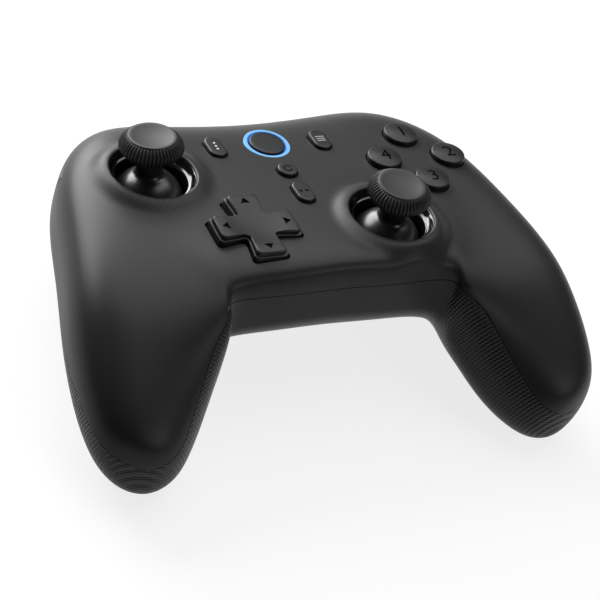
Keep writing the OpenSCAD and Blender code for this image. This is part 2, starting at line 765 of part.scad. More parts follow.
// Level of the board's top under the pad, from the face
pad_floor = board_z * cos(deck_tilt) - pad_under[1] * sin(deck_tilt) - pad_z;
module pad_place() {
    translate(home + [pad_at[0], pad_at[1], pad_z]) children();
}
module cross_pad() {
    ball = 60;
    low = pad_floor + dome_h + 1.7;
    step = pad_rise - 1.3;
    color(satin_black) pad_place() {
        difference() {
            union() {
                translate([0, 0, -pad_drop]) linear_extrude(pad_drop + pad_rise) cross_shape(0);
                translate([0, 0, -pad_drop]) linear_extrude(pad_drop + step) cross_shape(pad_skirt);
            }
            translate([0, 0, pad_rise - 0.7 + ball]) sphere(r = ball, $fn = 128);
        }
        translate([0, 0, -pad_drop - flange_t]) cylinder(r = pad_flange_r, h = flange_t);
        for (d = key_turns) translate([d[0] * pad_reach, d[1] * pad_reach, low])
            cylinder(r = 2, h = -pad_drop - low);
    }
}
module pad_nub() {
    top = -pad_drop - flange_t - 0.5;
    nub_r = 2.2;
    color(satin_black) pad_place() {
        translate([0, 0, top - 1.2]) cylinder(r = 4.4, h = 1.2);
        translate([0, 0, pad_floor + nub_r + 0.2]) cylinder(r = nub_r, h = top - pad_floor - nub_r - 0.4);
        translate([0, 0, pad_floor + nub_r + 0.2]) sphere(r = nub_r);
    }
}

// Stick pieces, drawn around the stick's pivot
can_r = 7.2;
gimbal_r = 5.4;
gimbal_bore = 3.4;
axle_r = 0.9;
shaft_r = 1.9;
shaft_top = 12;
module stick_module() {
    low = -5.4;
    difference() {
        union() {
            translate([0, 0, low]) cylinder(r = can_r, h = 1.4 - low);
            translate([-8, -8, low]) cube([16, 16, 3]);
        }
        translate([0, 0, low + 1.6]) cylinder(r = gimbal_r + 0.6, h = 20);
        rotate([0, 90, 0]) cylinder(r = axle_r + pin_gap, h = 40, center = true);
    }
}
module stick_gimbal() {
    difference() {
        union() {
            translate([0, 0, -1.3]) cylinder(r = gimbal_r, h = 2.6);
            rotate([0, 90, 0]) cylinder(r = axle_r, h = 2 * can_r - 0.4, center = true);
        }
        translate([0, 0, -5]) cylinder(r = gimbal_bore, h = 10);
        rotate([90, 0, 0]) cylinder(r = axle_r + pin_gap, h = 40, center = true);
    }
}
module stick_shaft() {
    sphere(r = 2.4);
    rotate([90, 0, 0]) cylinder(r = axle_r, h = 2 * gimbal_r - 0.4, center = true);
    cylinder(r = shaft_r, h = shaft_top);
}
// Dome and neck in one moulding, with a bore for the shaft
neck_top = pivot_depth + cap_rise - cap_h + 2;
module stick_post() {
    shell = 1;
    skirt = 2.8;
    bore_top = shaft_top + click_travel + 0.3;
    difference() {
        union() {
            intersection() {
                sphere(r = dome_r, $fn = 96);
                translate([0, 0, skirt]) cylinder(r = 20, h = 20);
            }
            cylinder(r = neck_r, h = neck_top);
        }
        intersection() {
            sphere(r = dome_r - shell, $fn = 96);
            translate([0, 0, -20]) cylinder(r = 20, h = 26);
        }
        translate([0, 0, -1]) cylinder(r = shaft_r + pin_gap, h = bore_top + 1);
        translate([0, 0, -20]) cylinder(r = 20, h = 20 + skirt);
    }
}
module stick_cap() {
    top = pivot_depth + cap_rise;
    low = top - cap_h;
    disc = cap_r * 0.68;
    ball = (disc * disc + dish * dish) / (2 * dish);
    difference() {
        rotate_extrude() polygon([[0, low], [cap_r - 2.4, low], [cap_r - 0.8, low + 1], [cap_r, low + 2.4],
            [cap_r, low + 3.2], [cap_r - 0.5, low + 4.4], [cap_r - 1.6, top - 0.5], [disc + 0.5, top], [0, top]]);
        translate([0, 0, top - dish + ball]) sphere(r = ball, $fn = 128);
        translate([0, 0, low - 1]) cylinder(r = neck_r + seat_gap, h = 3);
    }
}
module at_pivot(well, lean) {
    deck(well + [0, 0, -pivot_depth]) rotate([-lean[0], 0, 0]) rotate([0, lean[1], 0]) children();
}
left_lean = [left_stick_lean[0], -left_stick_lean[1]];
right_lean = [right_stick_lean[0], right_stick_lean[1]];
level = [0, 0];
module module_feet(well) {
    deck([well[0], well[1], board_z]) translate([-8, -8, 0])
        cube([16, 16, well[2] - pivot_depth - 5.4 - board_z]);
}
module left_stick_module() color(steel) {
    at_pivot(left_well, level) stick_module();
    module_feet(left_well);
}
module right_stick_module() color(steel) {
    at_pivot(right_well, level) stick_module();
    module_feet(right_well);
}
module left_stick_gimbal() color(copper) at_pivot(left_well, [left_lean[0], 0]) stick_gimbal();
module right_stick_gimbal() color(copper) at_pivot(right_well, [right_lean[0], 0]) stick_gimbal();
module left_stick_shaft() color(steel) at_pivot(left_well, left_lean) stick_shaft();
module right_stick_shaft() color(steel) at_pivot(right_well, right_lean) stick_shaft();
module left_stick_post() color(gloss_black) at_pivot(left_well, left_lean) stick_post();
module right_stick_post() color(gloss_black) at_pivot(right_well, right_lean) stick_post();
module left_stick_cap() color(rubber_black) at_pivot(left_well, left_lean) stick_cap();
module right_stick_cap() color(rubber_black) at_pivot(right_well, right_lean) stick_cap();

// Glossy funnel that lines a well
module well_ring(well) {
    r = well_r - seat_gap;
    mouth = r - 0.3;
    throat = r - 1.9;
    color(gloss_black) deck(well) rotate_extrude()
        polygon([[r, -0.6], [mouth, -0.6], [throat, -2.6], [throat, -5.6], [r, -5.6]]);
}
module left_well_ring() well_ring(left_well);
module right_well_ring() well_ring(right_well);

// Rumble motors in the grips
module motor() {
    translate(home + motor_at) rotate([0, 90, 0]) {
        cylinder(r = motor_r, h = motor_len, center = true);
        cylinder(r = 0.8, h = motor_len / 2 + 6);
    }
}
module weight() {
    translate(home + motor_at + [motor_len / 2 + 0.6, 0, 0]) rotate([0, 90, 0]) difference() {
        union() {
            intersection() {
                cylinder(r = weight_r, h = 5);
                translate([0, -20, -1]) cube([20, 40, 20]);
            }
            cylinder(r = 2.4, h = 5);
        }
        translate([0, 0, -1]) cylinder(r = 0.8 + pin_gap, h = 10);
    }
}
module right_rumble_motor() color(steel) motor();
module left_rumble_motor() color(steel) left_side() motor();
module right_rumble_weight() color(copper) weight();
module left_rumble_weight() color(copper) left_side() weight();

front_shell();
back_shell();
left_bumper();
right_bumper();
left_trigger();
right_trigger();
trigger_pins();
left_trigger_spring();
right_trigger_spring();
left_shoulder_bracket();
right_shoulder_bracket();
bumper_switches();
usb_socket();
usb_tongue();
main_board();
board_screws();
case_screws();
battery_pack();
key_switches();
status_leds();
key_membrane();
pad_membrane();
face_button_top();
face_button_right();
face_button_bottom();
face_button_left();
home_button();
light_ring();
view_button();
menu_button();
round_button();
share_button();
cross_pad();
pad_nub();
left_stick_module();
right_stick_module();
left_stick_gimbal();
right_stick_gimbal();
left_stick_shaft();
right_stick_shaft();
left_stick_post();
right_stick_post();
left_stick_cap();
right_stick_cap();
left_well_ring();
right_well_ring();
left_rumble_motor();
right_rumble_motor();
left_rumble_weight();
right_rumble_weight();
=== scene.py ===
# Looks of the gamepad controller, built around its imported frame
import math

import bmesh
import bpy
import numpy as np
from mathutils import Matrix, Vector


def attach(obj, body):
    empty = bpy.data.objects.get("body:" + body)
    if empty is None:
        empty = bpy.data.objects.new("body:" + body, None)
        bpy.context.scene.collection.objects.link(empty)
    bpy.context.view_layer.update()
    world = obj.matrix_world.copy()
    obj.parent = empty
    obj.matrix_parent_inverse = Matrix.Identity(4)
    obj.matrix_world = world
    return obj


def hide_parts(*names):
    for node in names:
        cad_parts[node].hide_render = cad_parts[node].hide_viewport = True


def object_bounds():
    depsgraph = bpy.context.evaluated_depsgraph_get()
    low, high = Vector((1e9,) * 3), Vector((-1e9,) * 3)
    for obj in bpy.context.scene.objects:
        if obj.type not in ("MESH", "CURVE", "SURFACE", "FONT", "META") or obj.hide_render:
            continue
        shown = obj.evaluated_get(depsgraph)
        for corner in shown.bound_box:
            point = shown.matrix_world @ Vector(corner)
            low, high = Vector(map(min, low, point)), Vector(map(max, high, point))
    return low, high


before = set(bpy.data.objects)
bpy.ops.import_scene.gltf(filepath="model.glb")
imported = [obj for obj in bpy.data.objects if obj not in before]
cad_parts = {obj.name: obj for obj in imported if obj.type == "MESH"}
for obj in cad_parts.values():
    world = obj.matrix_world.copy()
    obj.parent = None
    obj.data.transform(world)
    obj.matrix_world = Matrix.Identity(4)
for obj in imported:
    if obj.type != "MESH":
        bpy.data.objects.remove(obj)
cadLow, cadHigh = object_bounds()
mm = 0.001
print("frame loaded,", len(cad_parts), "nodes")

# Camera where the photograph was taken from, millimetres in the part's frame
photoCamera = {
    "lens": 144,
    "sensor": 36,
    "place": (-309.66, -433.24, 457.17),
    "right": (0.88685, -0.38800, 0.25090),
    "up": (0.09292, 0.68167, 0.72572),
    "back": (-0.45262, -0.62029, 0.64060),
}


def makeCamera(c):
    data = bpy.data.cameras.new("photoCamera")
    data.lens = c["lens"]
    data.sensor_width = c["sensor"]
    cam = bpy.data.objects.new("photoCamera", data)
    turn = Matrix((c["right"], c["up"], c["back"])).transposed().to_4x4()
    cam.matrix_world = Matrix.Translation(Vector(c["place"]) * mm) @ turn
    bpy.context.scene.collection.objects.link(cam)
    bpy.context.scene.camera = cam


makeCamera(photoCamera)

# A wide softbox behind on the left, weak ones overhead and at the front right;
# places and sizes in metres
softboxes = {
    "keyBox": {"place": (-0.16, 0.70, 0.39), "size": (0.66, 0.62), "watts": 15.0},
    "topBox": {"place": (0.28, 0.22, 0.75), "size": (0.8, 0.8), "watts": 5.5},
    "frontBox": {"place": (0.42, -0.68, 0.46), "size": (0.35, 0.35), "watts": 1.3},
}
studio = {"aim": (0.0, 0.0, 0.03), "world": "#8c8c8c", "worldStrength": 0.1, "floorReach": 30.0,
          "floor": "#747474", "paper": "#ffffff", "floorGlow": 0.8}


def tone(text):
    # sRGB hex to linear
    parts = [int(text[i:i + 2], 16) / 255 for i in (1, 3, 5)]
    return [p / 12.92 if p <= 0.04045 else ((p + 0.055) / 1.055) ** 2.4 for p in parts] + [1.0]


def addNode(tree, kind, settings=None, inputs=None):
    node = tree.nodes.new("ShaderNode" + kind)
    for key, value in (settings or {}).items():
        setattr(node, key, value)
    for key, value in (inputs or {}).items():
        if isinstance(value, bpy.types.NodeSocket):
            tree.links.new(value, node.inputs[key])
        else:
            node.inputs[key].default_value = value
    return node


def makeLights(boxes, aim):
    for name, box in boxes.items():
        data = bpy.data.lights.new(name, "AREA")
        data.shape = "RECTANGLE"
        data.size, data.size_y = box["size"]
        data.energy = box["watts"]
        lamp = bpy.data.objects.new(name, data)
        lamp.location = box["place"]
        toward = Vector(aim) - Vector(box["place"])
        lamp.rotation_euler = toward.to_track_quat("-Z", "Y").to_euler()
        lamp.visible_camera = False
        bpy.context.scene.collection.objects.link(lamp)


def makeFloor(s):
    bm = bmesh.new()
    bmesh.ops.create_grid(bm, x_segments=1, y_segments=1, size=s["floorReach"])
    bmesh.ops.translate(bm, verts=bm.verts, vec=(0, 0, cadLow.z - 0.0002))
    mesh = bpy.data.meshes.new("floor")
    bm.to_mesh(mesh)
    bm.free()
    floor = bpy.data.objects.new("floor", mesh)
    bpy.context.scene.collection.objects.link(floor)
    # white sweep paper: it glows for the eye and for reflections, and still takes the shadow
    mat = bpy.data.materials.new("sweepPaper")
    mat.use_nodes = True
    tree = mat.node_tree
    tree.nodes.clear()
    path = addNode(tree, "LightPath")
    seen = addNode(tree, "Math", {"operation": "MAXIMUM"},
                   {0: path.outputs["Is Camera Ray"], 1: path.outputs["Is Glossy Ray"]})
    seen = addNode(tree, "Math", {"operation": "MAXIMUM"},
                   {0: seen.outputs[0], 1: path.outputs["Is Transmission Ray"]})
    paper = addNode(tree, "BsdfDiffuse", None, {"Color": tone(s["floor"])})
    glow = addNode(tree, "Emission", None, {"Color": tone(s["paper"]), "Strength": s["floorGlow"]})
    both = addNode(tree, "AddShader", None, {0: paper.outputs[0], 1: glow.outputs[0]})
    mix = addNode(tree, "MixShader", None,
                  {0: seen.outputs[0], 1: paper.outputs[0], 2: both.outputs[0]})
    addNode(tree, "OutputMaterial", None, {"Surface": mix.outputs[0]})
    mesh.materials.append(mat)


def makeWorld(s):
    world = bpy.data.worlds.new("studio")
    world.use_nodes = True
    sky = world.node_tree.nodes["Background"]
    sky.inputs["Color"].default_value = tone(s["world"])
    sky.inputs["Strength"].default_value = s["worldStrength"]
    bpy.context.scene.world = world
    bpy.context.scene.view_settings.view_transform = "Standard"


makeLights(softboxes, studio["aim"])
makeFloor(studio)
makeWorld(studio)
print("camera, lights and floor made")

# Loft of the body, millimetres from the home button: half outline and profiles, middle to grip's tip
bodyLoft = {
    "home": (0, 31.5, 44.1),
    "plan": [(0, -57.4), (16, -58.2), (37, -56.8), (34.5, -64), (38.5, -69), (43, -75.5),
             (50, -85), (58, -93), (76, -88.5), (79, -75), (78.5, -61), (76.5, -47.5),
             (70, -24), (63.5, 5), (46, 23.5), (26, 22.5), (0, 21)],
    "tipPlace": 7.35,
    "tipLevel": -32.5,
    "tipBlend": 6,
    "tipRound": 8,
    "frontLevel": [-13.7, -15.2, -20.6, -31, -39],
    "backLevel": [-23.5, -19.5, -16.5, -22.5, -31],
    "crown": [19.6, 18.5, 19.4, 17, 12.5],
    "belly": [19, 16, 15, 16.5, 13],
    "frontPower": [9, 8, 4.5, 2.6, 2.2],
    "backPower": [3.2, 3.5, 3.4, 2.5, 2.2],
    "bellyPower": [2.6, 2.6, 2.4, 2.2, 2.1],
    "bellyFrontPower": [1.9, 2, 2.3, 2.2, 2.1],
    "seamFront": [0.49, 0.52, 0.9, 0.74, 0.5],
    "seamBack": [0, -4, -6, 0, 16],
    "seamGap": 0.15,
    "seamTurn": 0.15,
    "wall": 2.2,
}
home = np.array(bodyLoft["home"])
flipped = np.array((-1, 1))
outline = np.array(bodyLoft["plan"], float)
edgeLine = np.vstack([outline[1] * flipped, outline, outline[-2] * flipped])


def spline(points, u):
    # uniform cubic B-spline
    c = np.asarray(points, float)
    u = np.asarray(u, float)
    i = np.clip(np.floor(u).astype(int), 0, len(c) - 4)
    w = u - i
    weights = [(1 - w) ** 3, 3 * w ** 3 - 6 * w ** 2 + 4, -3 * w ** 3 + 3 * w ** 2 + 3 * w + 1, w ** 3]
    if c.ndim == 2:
        weights = [x[..., None] for x in weights]
    return sum(x * c[i + k] for k, x in enumerate(weights)) / 6


def along(name, t):
    v = bodyLoft[name]
    n = len(v) - 1
    return spline([v[1]] + v + [2 * v[n] - v[n - 1]], np.asarray(t) * n)


def station(t):
    # one cross-section: edge points, their levels, crown and belly
    t = np.asarray(t, float)
    last = len(outline) - 1
    w = t ** bodyLoft["tipBlend"]
    r = np.sqrt(np.maximum(0, 1 - t ** bodyLoft["tipRound"]))
    tip = bodyLoft["tipPlace"]
    front = spline(edgeLine, tip * t)
    back = spline(edgeLine, last - (last - tip) * t)
    level = bodyLoft["tipLevel"] * w
    frontZ = along("frontLevel", t) * (1 - w) + level
    backZ = along("backLevel", t) * (1 - w) + level
    return front, back, frontZ, backZ, along("crown", t) * r, along("belly", t) * r


def skin(t, a):
    # point on the body at row t and angle a: 0 at the front edge, 90 on top, 180 at the back edge
    front, back, frontZ, backZ, crown, belly = station(t)
    c = np.cos(np.radians(a))
    k = (1 - c) / 2
    top = np.sin(np.radians(a)) >= 0
    above = np.where(c > 0, along("frontPower", t), along("backPower", t))
    below = np.where(c > 0, along("bellyFrontPower", t), along("bellyPower", t))
    power = np.where(top, above, below)
    lift = np.where(top, crown, -belly) * np.maximum(0, 1 - np.abs(c) ** power) ** (1 / power)
    flat = front * (1 - k)[..., None] + back * k[..., None]
    level = frontZ * (1 - k) + backZ * k + lift
    return np.concatenate([flat, level[..., None]], axis=-1) + home


def skinNormal(t, a):
    dt, da = 0.004, 1.0
    after = np.minimum(1, t + dt)
    du = skin(after, a) - skin(after - 2 * dt, a)
    dv = skin(t, a + da) - skin(t, a - da)
    n = np.cross(du, dv)
    size = np.linalg.norm(n, axis=-1, keepdims=True)
    return n / np.maximum(size, 1e-9)


def rowAt(x, y):
    # row of the loft that passes over a place seen from above
    low, high = 0.0, 1.0
    for _ in range(24):
        t = (low + high) / 2
        front, back = station(t)[:2]
        d, e = back - front, np.array((abs(x), y)) - front
        low, high = (t, high) if d[0] * e[1] - d[1] * e[0] < 0 else (low, t)
    return t, float(e @ d / (d @ d))


def faceLevel(x, y, under=False):
    t, k = rowAt(x, y)
    frontZ, backZ, crown, belly = station(t)[2:]
    names = ("bellyFrontPower", "bellyPower") if under else ("frontPower", "backPower")
    power = along(names[0] if k < 0.5 else names[1], t)
    lift = (1 - abs(2 * k - 1) ** power) ** (1 / power)
    return float(frontZ * (1 - k) + backZ * k + (-belly if under else crown) * lift)


# Control deck: its tilt and where things stand on it, millimetres from the home button
deckAngle = math.radians(4)
deckTilt = Matrix.Rotation(-deckAngle, 4, "X")


def deckAt(x, y, lift=0.0):
    point = Vector((x, y, faceLevel(x, y))) + Vector(home)
    return Matrix.Translation(point * mm) @ deckTilt @ Matrix.Translation((0, 0, lift * mm))


def levelAt(x, y):
    return Matrix.Translation((Vector((x, y, faceLevel(x, y))) + Vector(home)) * mm)


def homeAt(x, y, z):
    return Matrix.Translation((Vector((x, y, z)) + Vector(home)) * mm)


def smoothStep(x):
    x = np.clip(x, 0, 1)
    return x * x * (3 - 2 * x)


# Mesh helpers
def toMesh(name, bm):
    mesh = bpy.data.meshes.new(name)
    bm.to_mesh(mesh)
    bm.free()
    return mesh


def addPiece(name, mesh, materials, body, nodes=(), sharp=35):
    piece = bpy.data.objects.new(name, mesh)
    bpy.context.scene.collection.objects.link(piece)
    if not mesh.materials:
        for mat in materials:
            mesh.materials.append(mat)
    mesh.shade_smooth()
    mesh.set_sharp_from_angle(angle=math.radians(sharp))
    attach(piece, body)
    if nodes:
        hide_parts(*nodes)
    return piece


def withModifiers(mesh, *modifiers):
    # runs modifiers on a mesh and gives back the result
    holder = bpy.data.objects.new("bench", mesh)
    bpy.context.scene.collection.objects.link(holder)
    for kind, settings in modifiers:
        m = holder.modifiers.new(kind.lower(), kind)
        for key, value in settings.items():
            setattr(m, key, value)
    bpy.context.view_layer.update()
    done = bpy.data.meshes.new_from_object(holder.evaluated_get(bpy.context.evaluated_depsgraph_get()))
    bpy.data.objects.remove(holder)
    return done


def cutAway(mesh, cutter, solver="MANIFOLD", mark=None):
    # takes a cutter's volume out of a mesh; the cut faces get the mark's material
    tool = bpy.data.objects.new("cutter", cutter)
    bpy.context.scene.collection.objects.link(tool)
    settings = {"operation": "DIFFERENCE", "solver": solver, "object": tool}
    if mark:
        cutter.materials.append(mark)
        settings["material_mode"] = "TRANSFER"
    done = withModifiers(mesh, ("BOOLEAN", settings))
    bpy.data.objects.remove(tool)
    return done


def arc(cx, cz, r, start, end, steps):
    angles = [math.radians(start + (end - start) * i / steps) for i in range(steps + 1)]
    return [(cx + r * math.cos(a), cz + r * math.sin(a)) for a in angles]


def lathe(bm, profile, steps=96, closed=False):
    # turns a profile of (radius, height) in millimetres round the Z axis
    verts = [bm.verts.new((r * mm, 0, z * mm)) for r, z in profile]
    pairs = list(zip(verts, verts[1:])) + ([(verts[-1], verts[0])] if closed else [])
    edges = [bm.edges.new(pair) for pair in pairs]
    bmesh.ops.spin(bm, geom=verts + edges, cent=(0, 0, 0), axis=(0, 0, 1), angle=math.tau, steps=steps,
                   use_merge=True)
    bmesh.ops.remove_doubles(bm, verts=bm.verts, dist=1e-6)
    bmesh.ops.recalc_face_normals(bm, faces=bm.faces)


def prism(bm, points, low, high, place=Matrix()):
    # upright prism over a flat outline, all in millimetres; gives back its top face
    face = bm.faces.new([bm.verts.new((x * mm, y * mm, low * mm)) for x, y in points])
    raised = bmesh.ops.extrude_face_region(bm, geom=[face], use_keep_orig=True)["geom"]
    verts = [g for g in raised if isinstance(g, bmesh.types.BMVert)]
    top = [g for g in raised if isinstance(g, bmesh.types.BMFace)][0]
    bmesh.ops.translate(bm, verts=verts, vec=(0, 0, (high - low) * mm))
    bmesh.ops.transform(bm, matrix=place, verts=list(face.verts) + verts)
    bmesh.ops.recalc_face_normals(bm, faces=bm.faces)
    return top


def absorb(bm, extra):
    # takes another bmesh's solid in
    part = toMesh("part", extra)
    bm.from_mesh(part)
    bpy.data.meshes.remove(part)


def joined(mesh, *builders):
    # adds more closed solids, each built by itself, to a finished mesh
    bm = bmesh.new()
    bm.from_mesh(mesh)
    for build in builders:
        extra = bmesh.new()
        build(extra)
        bmesh.ops.recalc_face_normals(extra, faces=extra.faces)
        absorb(bm, extra)
    bm.to_mesh(mesh)
    bm.free()
    return mesh


def roundTop(bm, face, radius, steps=4):
    # rounds the rim of a top face with insets that climb a quarter circle, millimetres
    for i in range(steps):
        a, b = math.pi / 2 * i / steps, math.pi / 2 * (i + 1) / steps
        bmesh.ops.inset_region(bm, faces=[face], thickness=radius * (math.cos(a) - math.cos(b)) * mm,
                               use_even_offset=True)
        bmesh.ops.translate(bm, verts=face.verts, vec=(0, 0, radius * (math.sin(b) - math.sin(a)) * mm))


def pillOutline(width, length, steps=16):
    r, half = width / 2, (length - width) / 2
    return arc(0, half, r, 0, 180, steps) + arc(0, -half, r, 180, 360, steps)


# Materials
def newMaterial(name):
    mat = bpy.data.materials.new(name)
    mat.use_nodes = True
    return mat, mat.node_tree, mat.node_tree.nodes["Principled BSDF"]


def grainedFinish(name, f):
    # moulded or rubbery surface: two close tones, roughness that drifts and a fine grain
    mat, tree, surface = newMaterial(name)
    spot = addNode(tree, "TexCoord").outputs["Object"]
    drift = addNode(tree, "TexNoise", None,
                    {"Vector": spot, "Scale": 1 / (f["driftMm"] * mm), "Detail": 3.0})
    grain = addNode(tree, "TexNoise", None,
                    {"Vector": spot, "Scale": 1 / (f["grainMm"] * mm), "Detail": 2.0})
    colour = addNode(tree, "Mix", {"data_type": "RGBA"},
                     {0: drift.outputs["Fac"], 6: tone(f["colour"]), 7: tone(f["shade"])})
    rough = addNode(tree, "MapRange", None,
                    {"Value": grain.outputs["Fac"], "From Min": 0.3, "From Max": 0.7,
                     "To Min": f["rough"] - f["spread"], "To Max": f["rough"] + f["spread"]})
    bump = addNode(tree, "Bump", None, {"Height": grain.outputs["Fac"], "Strength": f["bump"],
                                        "Distance": f["grainMm"] * 0.2 * mm})
    tree.links.new(colour.outputs[2], surface.inputs["Base Color"])
    tree.links.new(rough.outputs["Result"], surface.inputs["Roughness"])
    tree.links.new(bump.outputs["Normal"], surface.inputs["Normal"])
    surface.inputs["Specular IOR Level"].default_value = f.get("shine", 0.5)
    surface.inputs["Metallic"].default_value = f.get("metal", 0.0)
    return mat, tree, surface, spot, bump


# ABS moulded on a spark-eroded tool: matte charcoal with soft broad highlights
shellFinish = {"colour": "#262627", "shade": "#242425", "driftMm": 40, "grainMm": 0.3, "rough": 0.4,
               "spread": 0.04, "bump": 0.25, "shine": 0.18}
# the same ABS with the grips' moulded ridges, drawn coarser than real ones so that they show;
# pitch and depth in millimetres
ridgeFinish = {"pitch": 1.0, "dotPitch": 1.0, "dotShare": 0.35, "depth": 0.1,
               "fadeFrom": 8, "fadeTo": -6}
# satin ABS of the keys and the pad: a bit smoother, so their edges catch the light
keyFinish = {"colour": "#202122", "shade": "#1e1f20", "driftMm": 25, "grainMm": 0.25, "rough": 0.34,
             "spread": 0.03, "bump": 0.12, "shine": 0.22}
# moulded silicone rubber of the caps: dull, with a dusty sheen
rubberFinish = {"colour": "#222224", "shade": "#1e1e20", "driftMm": 8, "grainMm": 0.2, "rough": 0.55,
                "spread": 0.05, "bump": 0.2, "shine": 0.35}
# polished black ABS of the wells and switches: mirror-like reflections
glossFinish = {"colour": "#0c0c0d", "shade": "#0a0a0b", "driftMm": 20, "grainMm": 0.4, "rough": 0.12,
               "spread": 0.02, "bump": 0.0}
# satin black ABS of the stick posts: broad soft bands on neck and dome
postFinish = {"colour": "#1c1c1d", "shade": "#1a1a1b", "driftMm": 20, "grainMm": 0.4, "rough": 0.3,
              "spread": 0.0, "bump": 0.0}
# filled black of the sunk marks
markFinish = {"colour": "#050505", "shade": "#070707", "driftMm": 5, "grainMm": 0.3, "rough": 0.5,
              "spread": 0.04, "bump": 0.1, "shine": 0.02}
# pale pad-printed ink
inkFinish = {"colour": "#c9cacb", "shade": "#bfc0c1", "driftMm": 5, "grainMm": 0.2, "rough": 0.5,
             "spread": 0.05, "bump": 0.1}
# nickel-plated steel: pins, screws, springs and the stick modules' cans
steelFinish = {"colour": "#b9bcc0", "shade": "#a9acb0", "driftMm": 6, "grainMm": 0.15, "rough": 0.28,
               "spread": 0.08, "bump": 0.1, "metal": 1.0}
# turned brass of gimbals and weights
brassFinish = {"colour": "#c08a4a", "shade": "#b57f42", "driftMm": 6, "grainMm": 0.15, "rough": 0.3,
               "spread": 0.06, "bump": 0.1, "metal": 1.0}
# solder mask over glass fibre
boardFinish = {"colour": "#1f5a3a", "shade": "#174a2f", "driftMm": 3, "grainMm": 0.5, "rough": 0.3,
               "spread": 0.08, "bump": 0.2}
# shrink film round the cell
cellFinish = {"colour": "#3b5f8f", "shade": "#35578a", "driftMm": 12, "grainMm": 0.6, "rough": 0.25,
              "spread": 0.06, "bump": 0.15}
# clear resin of the small lamps
lampFinish = {"colour": "#f2f4f8", "shade": "#e6eaf0", "driftMm": 2, "grainMm": 0.3, "rough": 0.2,
              "spread": 0.03, "bump": 0.05}
# light guide: lit polycarbonate, with a deeper blue on its inner wall that is painted shade of the wall
guideFinish = {"colour": "#6cbcf7", "deep": "#1666d0", "strength": 1.0, "driftMm": 4}


def ridgedFinish(name, f, r):
    mat, tree, surface, spot, bump = grainedFinish(name, f)
    middle = [skin(np.array(t), np.array(90.0)) * 0.5 + skin(np.array(t), np.array(270.0)) * 0.5
              for t in (0.55, 0.95)]
    axis = (middle[1] - middle[0]) / np.linalg.norm(middle[1] - middle[0])
    start = float(middle[0] @ axis)
    parts = addNode(tree, "SeparateXYZ", None, {0: spot})
    side = addNode(tree, "Math", {"operation": "ABSOLUTE"}, {0: parts.outputs[0]})
    mirrored = addNode(tree, "CombineXYZ", None,
                       {0: side.outputs[0], 1: parts.outputs[1], 2: parts.outputs[2]})
    run = addNode(tree, "VectorMath", {"operation": "DOT_PRODUCT"},
                  {0: mirrored.outputs[0], 1: tuple(axis)})
    turns = math.tau / (r["pitch"] * mm)
    wave = addNode(tree, "Math", {"operation": "MULTIPLY"}, {0: run.outputs["Value"], 1: turns})
    wave = addNode(tree, "Math", {"operation": "SINE"}, {0: wave.outputs[0]})
    dots = addNode(tree, "Math", {"operation": "MULTIPLY"},
                   {0: parts.outputs[2], 1: math.tau / (r["dotPitch"] * mm)})
    dots = addNode(tree, "Math", {"operation": "SINE"}, {0: dots.outputs[0]})
    mixed = addNode(tree, "Math", {"operation": "MULTIPLY_ADD"},
                    {0: dots.outputs[0], 1: r["dotShare"], 2: wave.outputs[0]})
    mask = addNode(tree, "MapRange", {"interpolation_type": "SMOOTHSTEP"},
                   {"Value": run.outputs["Value"], "From Min": (start - r["fadeFrom"]) * mm,
                    "From Max": (start - r["fadeTo"]) * mm})
    height = addNode(tree, "Math", {"operation": "MULTIPLY"}, {0: mixed.outputs[0], 1: mask.outputs[0]})
    ridges = addNode(tree, "Bump", None,
                     {"Height": height.outputs[0], "Strength": 1.0, "Distance": r["depth"] * mm,
                      "Normal": bump.outputs["Normal"]})
    tree.links.new(ridges.outputs["Normal"], surface.inputs["Normal"])
    return mat


def litFinish(name, f, key):
    mat, tree, surface = newMaterial(name)
    spot = addNode(tree, "TexCoord").outputs["Object"]
    drift = addNode(tree, "TexNoise", None, {"Vector": spot, "Scale": 1 / (f["driftMm"] * mm)})
    glow = addNode(tree, "MapRange", None,
                   {"Value": drift.outputs["Fac"], "To Min": f["strength"] * 0.9,
                    "To Max": f["strength"] * 1.1})
    surface.inputs["Base Color"].default_value = (0, 0, 0, 1)
    surface.inputs["Emission Color"].default_value = tone(f[key])
    tree.links.new(glow.outputs["Result"], surface.inputs["Emission Strength"])
    return mat


shellAbs = grainedFinish("charcoalMouldedAbs", shellFinish)[0]
gripAbs = ridgedFinish("ridgedMouldedAbs", shellFinish, ridgeFinish)
keyAbs = grainedFinish("satinMouldedAbs", keyFinish)[0]
capRubber = grainedFinish("mouldedSilicone", rubberFinish)[0]
glossAbs = grainedFinish("polishedBlackAbs", glossFinish)[0]
postAbs = grainedFinish("satinBlackAbs", postFinish)[0]
sunkMark = grainedFinish("filledBlackMark", markFinish)[0]
paleInk = grainedFinish("paleInk", inkFinish)[0]
platedSteel = grainedFinish("platedSteel", steelFinish)[0]
turnedBrass = grainedFinish("turnedBrass", brassFinish)[0]
greenBoard = grainedFinish("solderMask", boardFinish)[0]
cellFilm = grainedFinish("shrinkFilm", cellFinish)[0]
lampResin = grainedFinish("lampResin", lampFinish)[0]
guideBand = litFinish("litGuideBand", guideFinish, "colour")
# the guide's inner wall glows a deeper blue: painted shade, not a colour of its own
guideWallPaintedShade = litFinish("litGuideWallPaintedShade", guideFinish, "deep")
print("materials made")

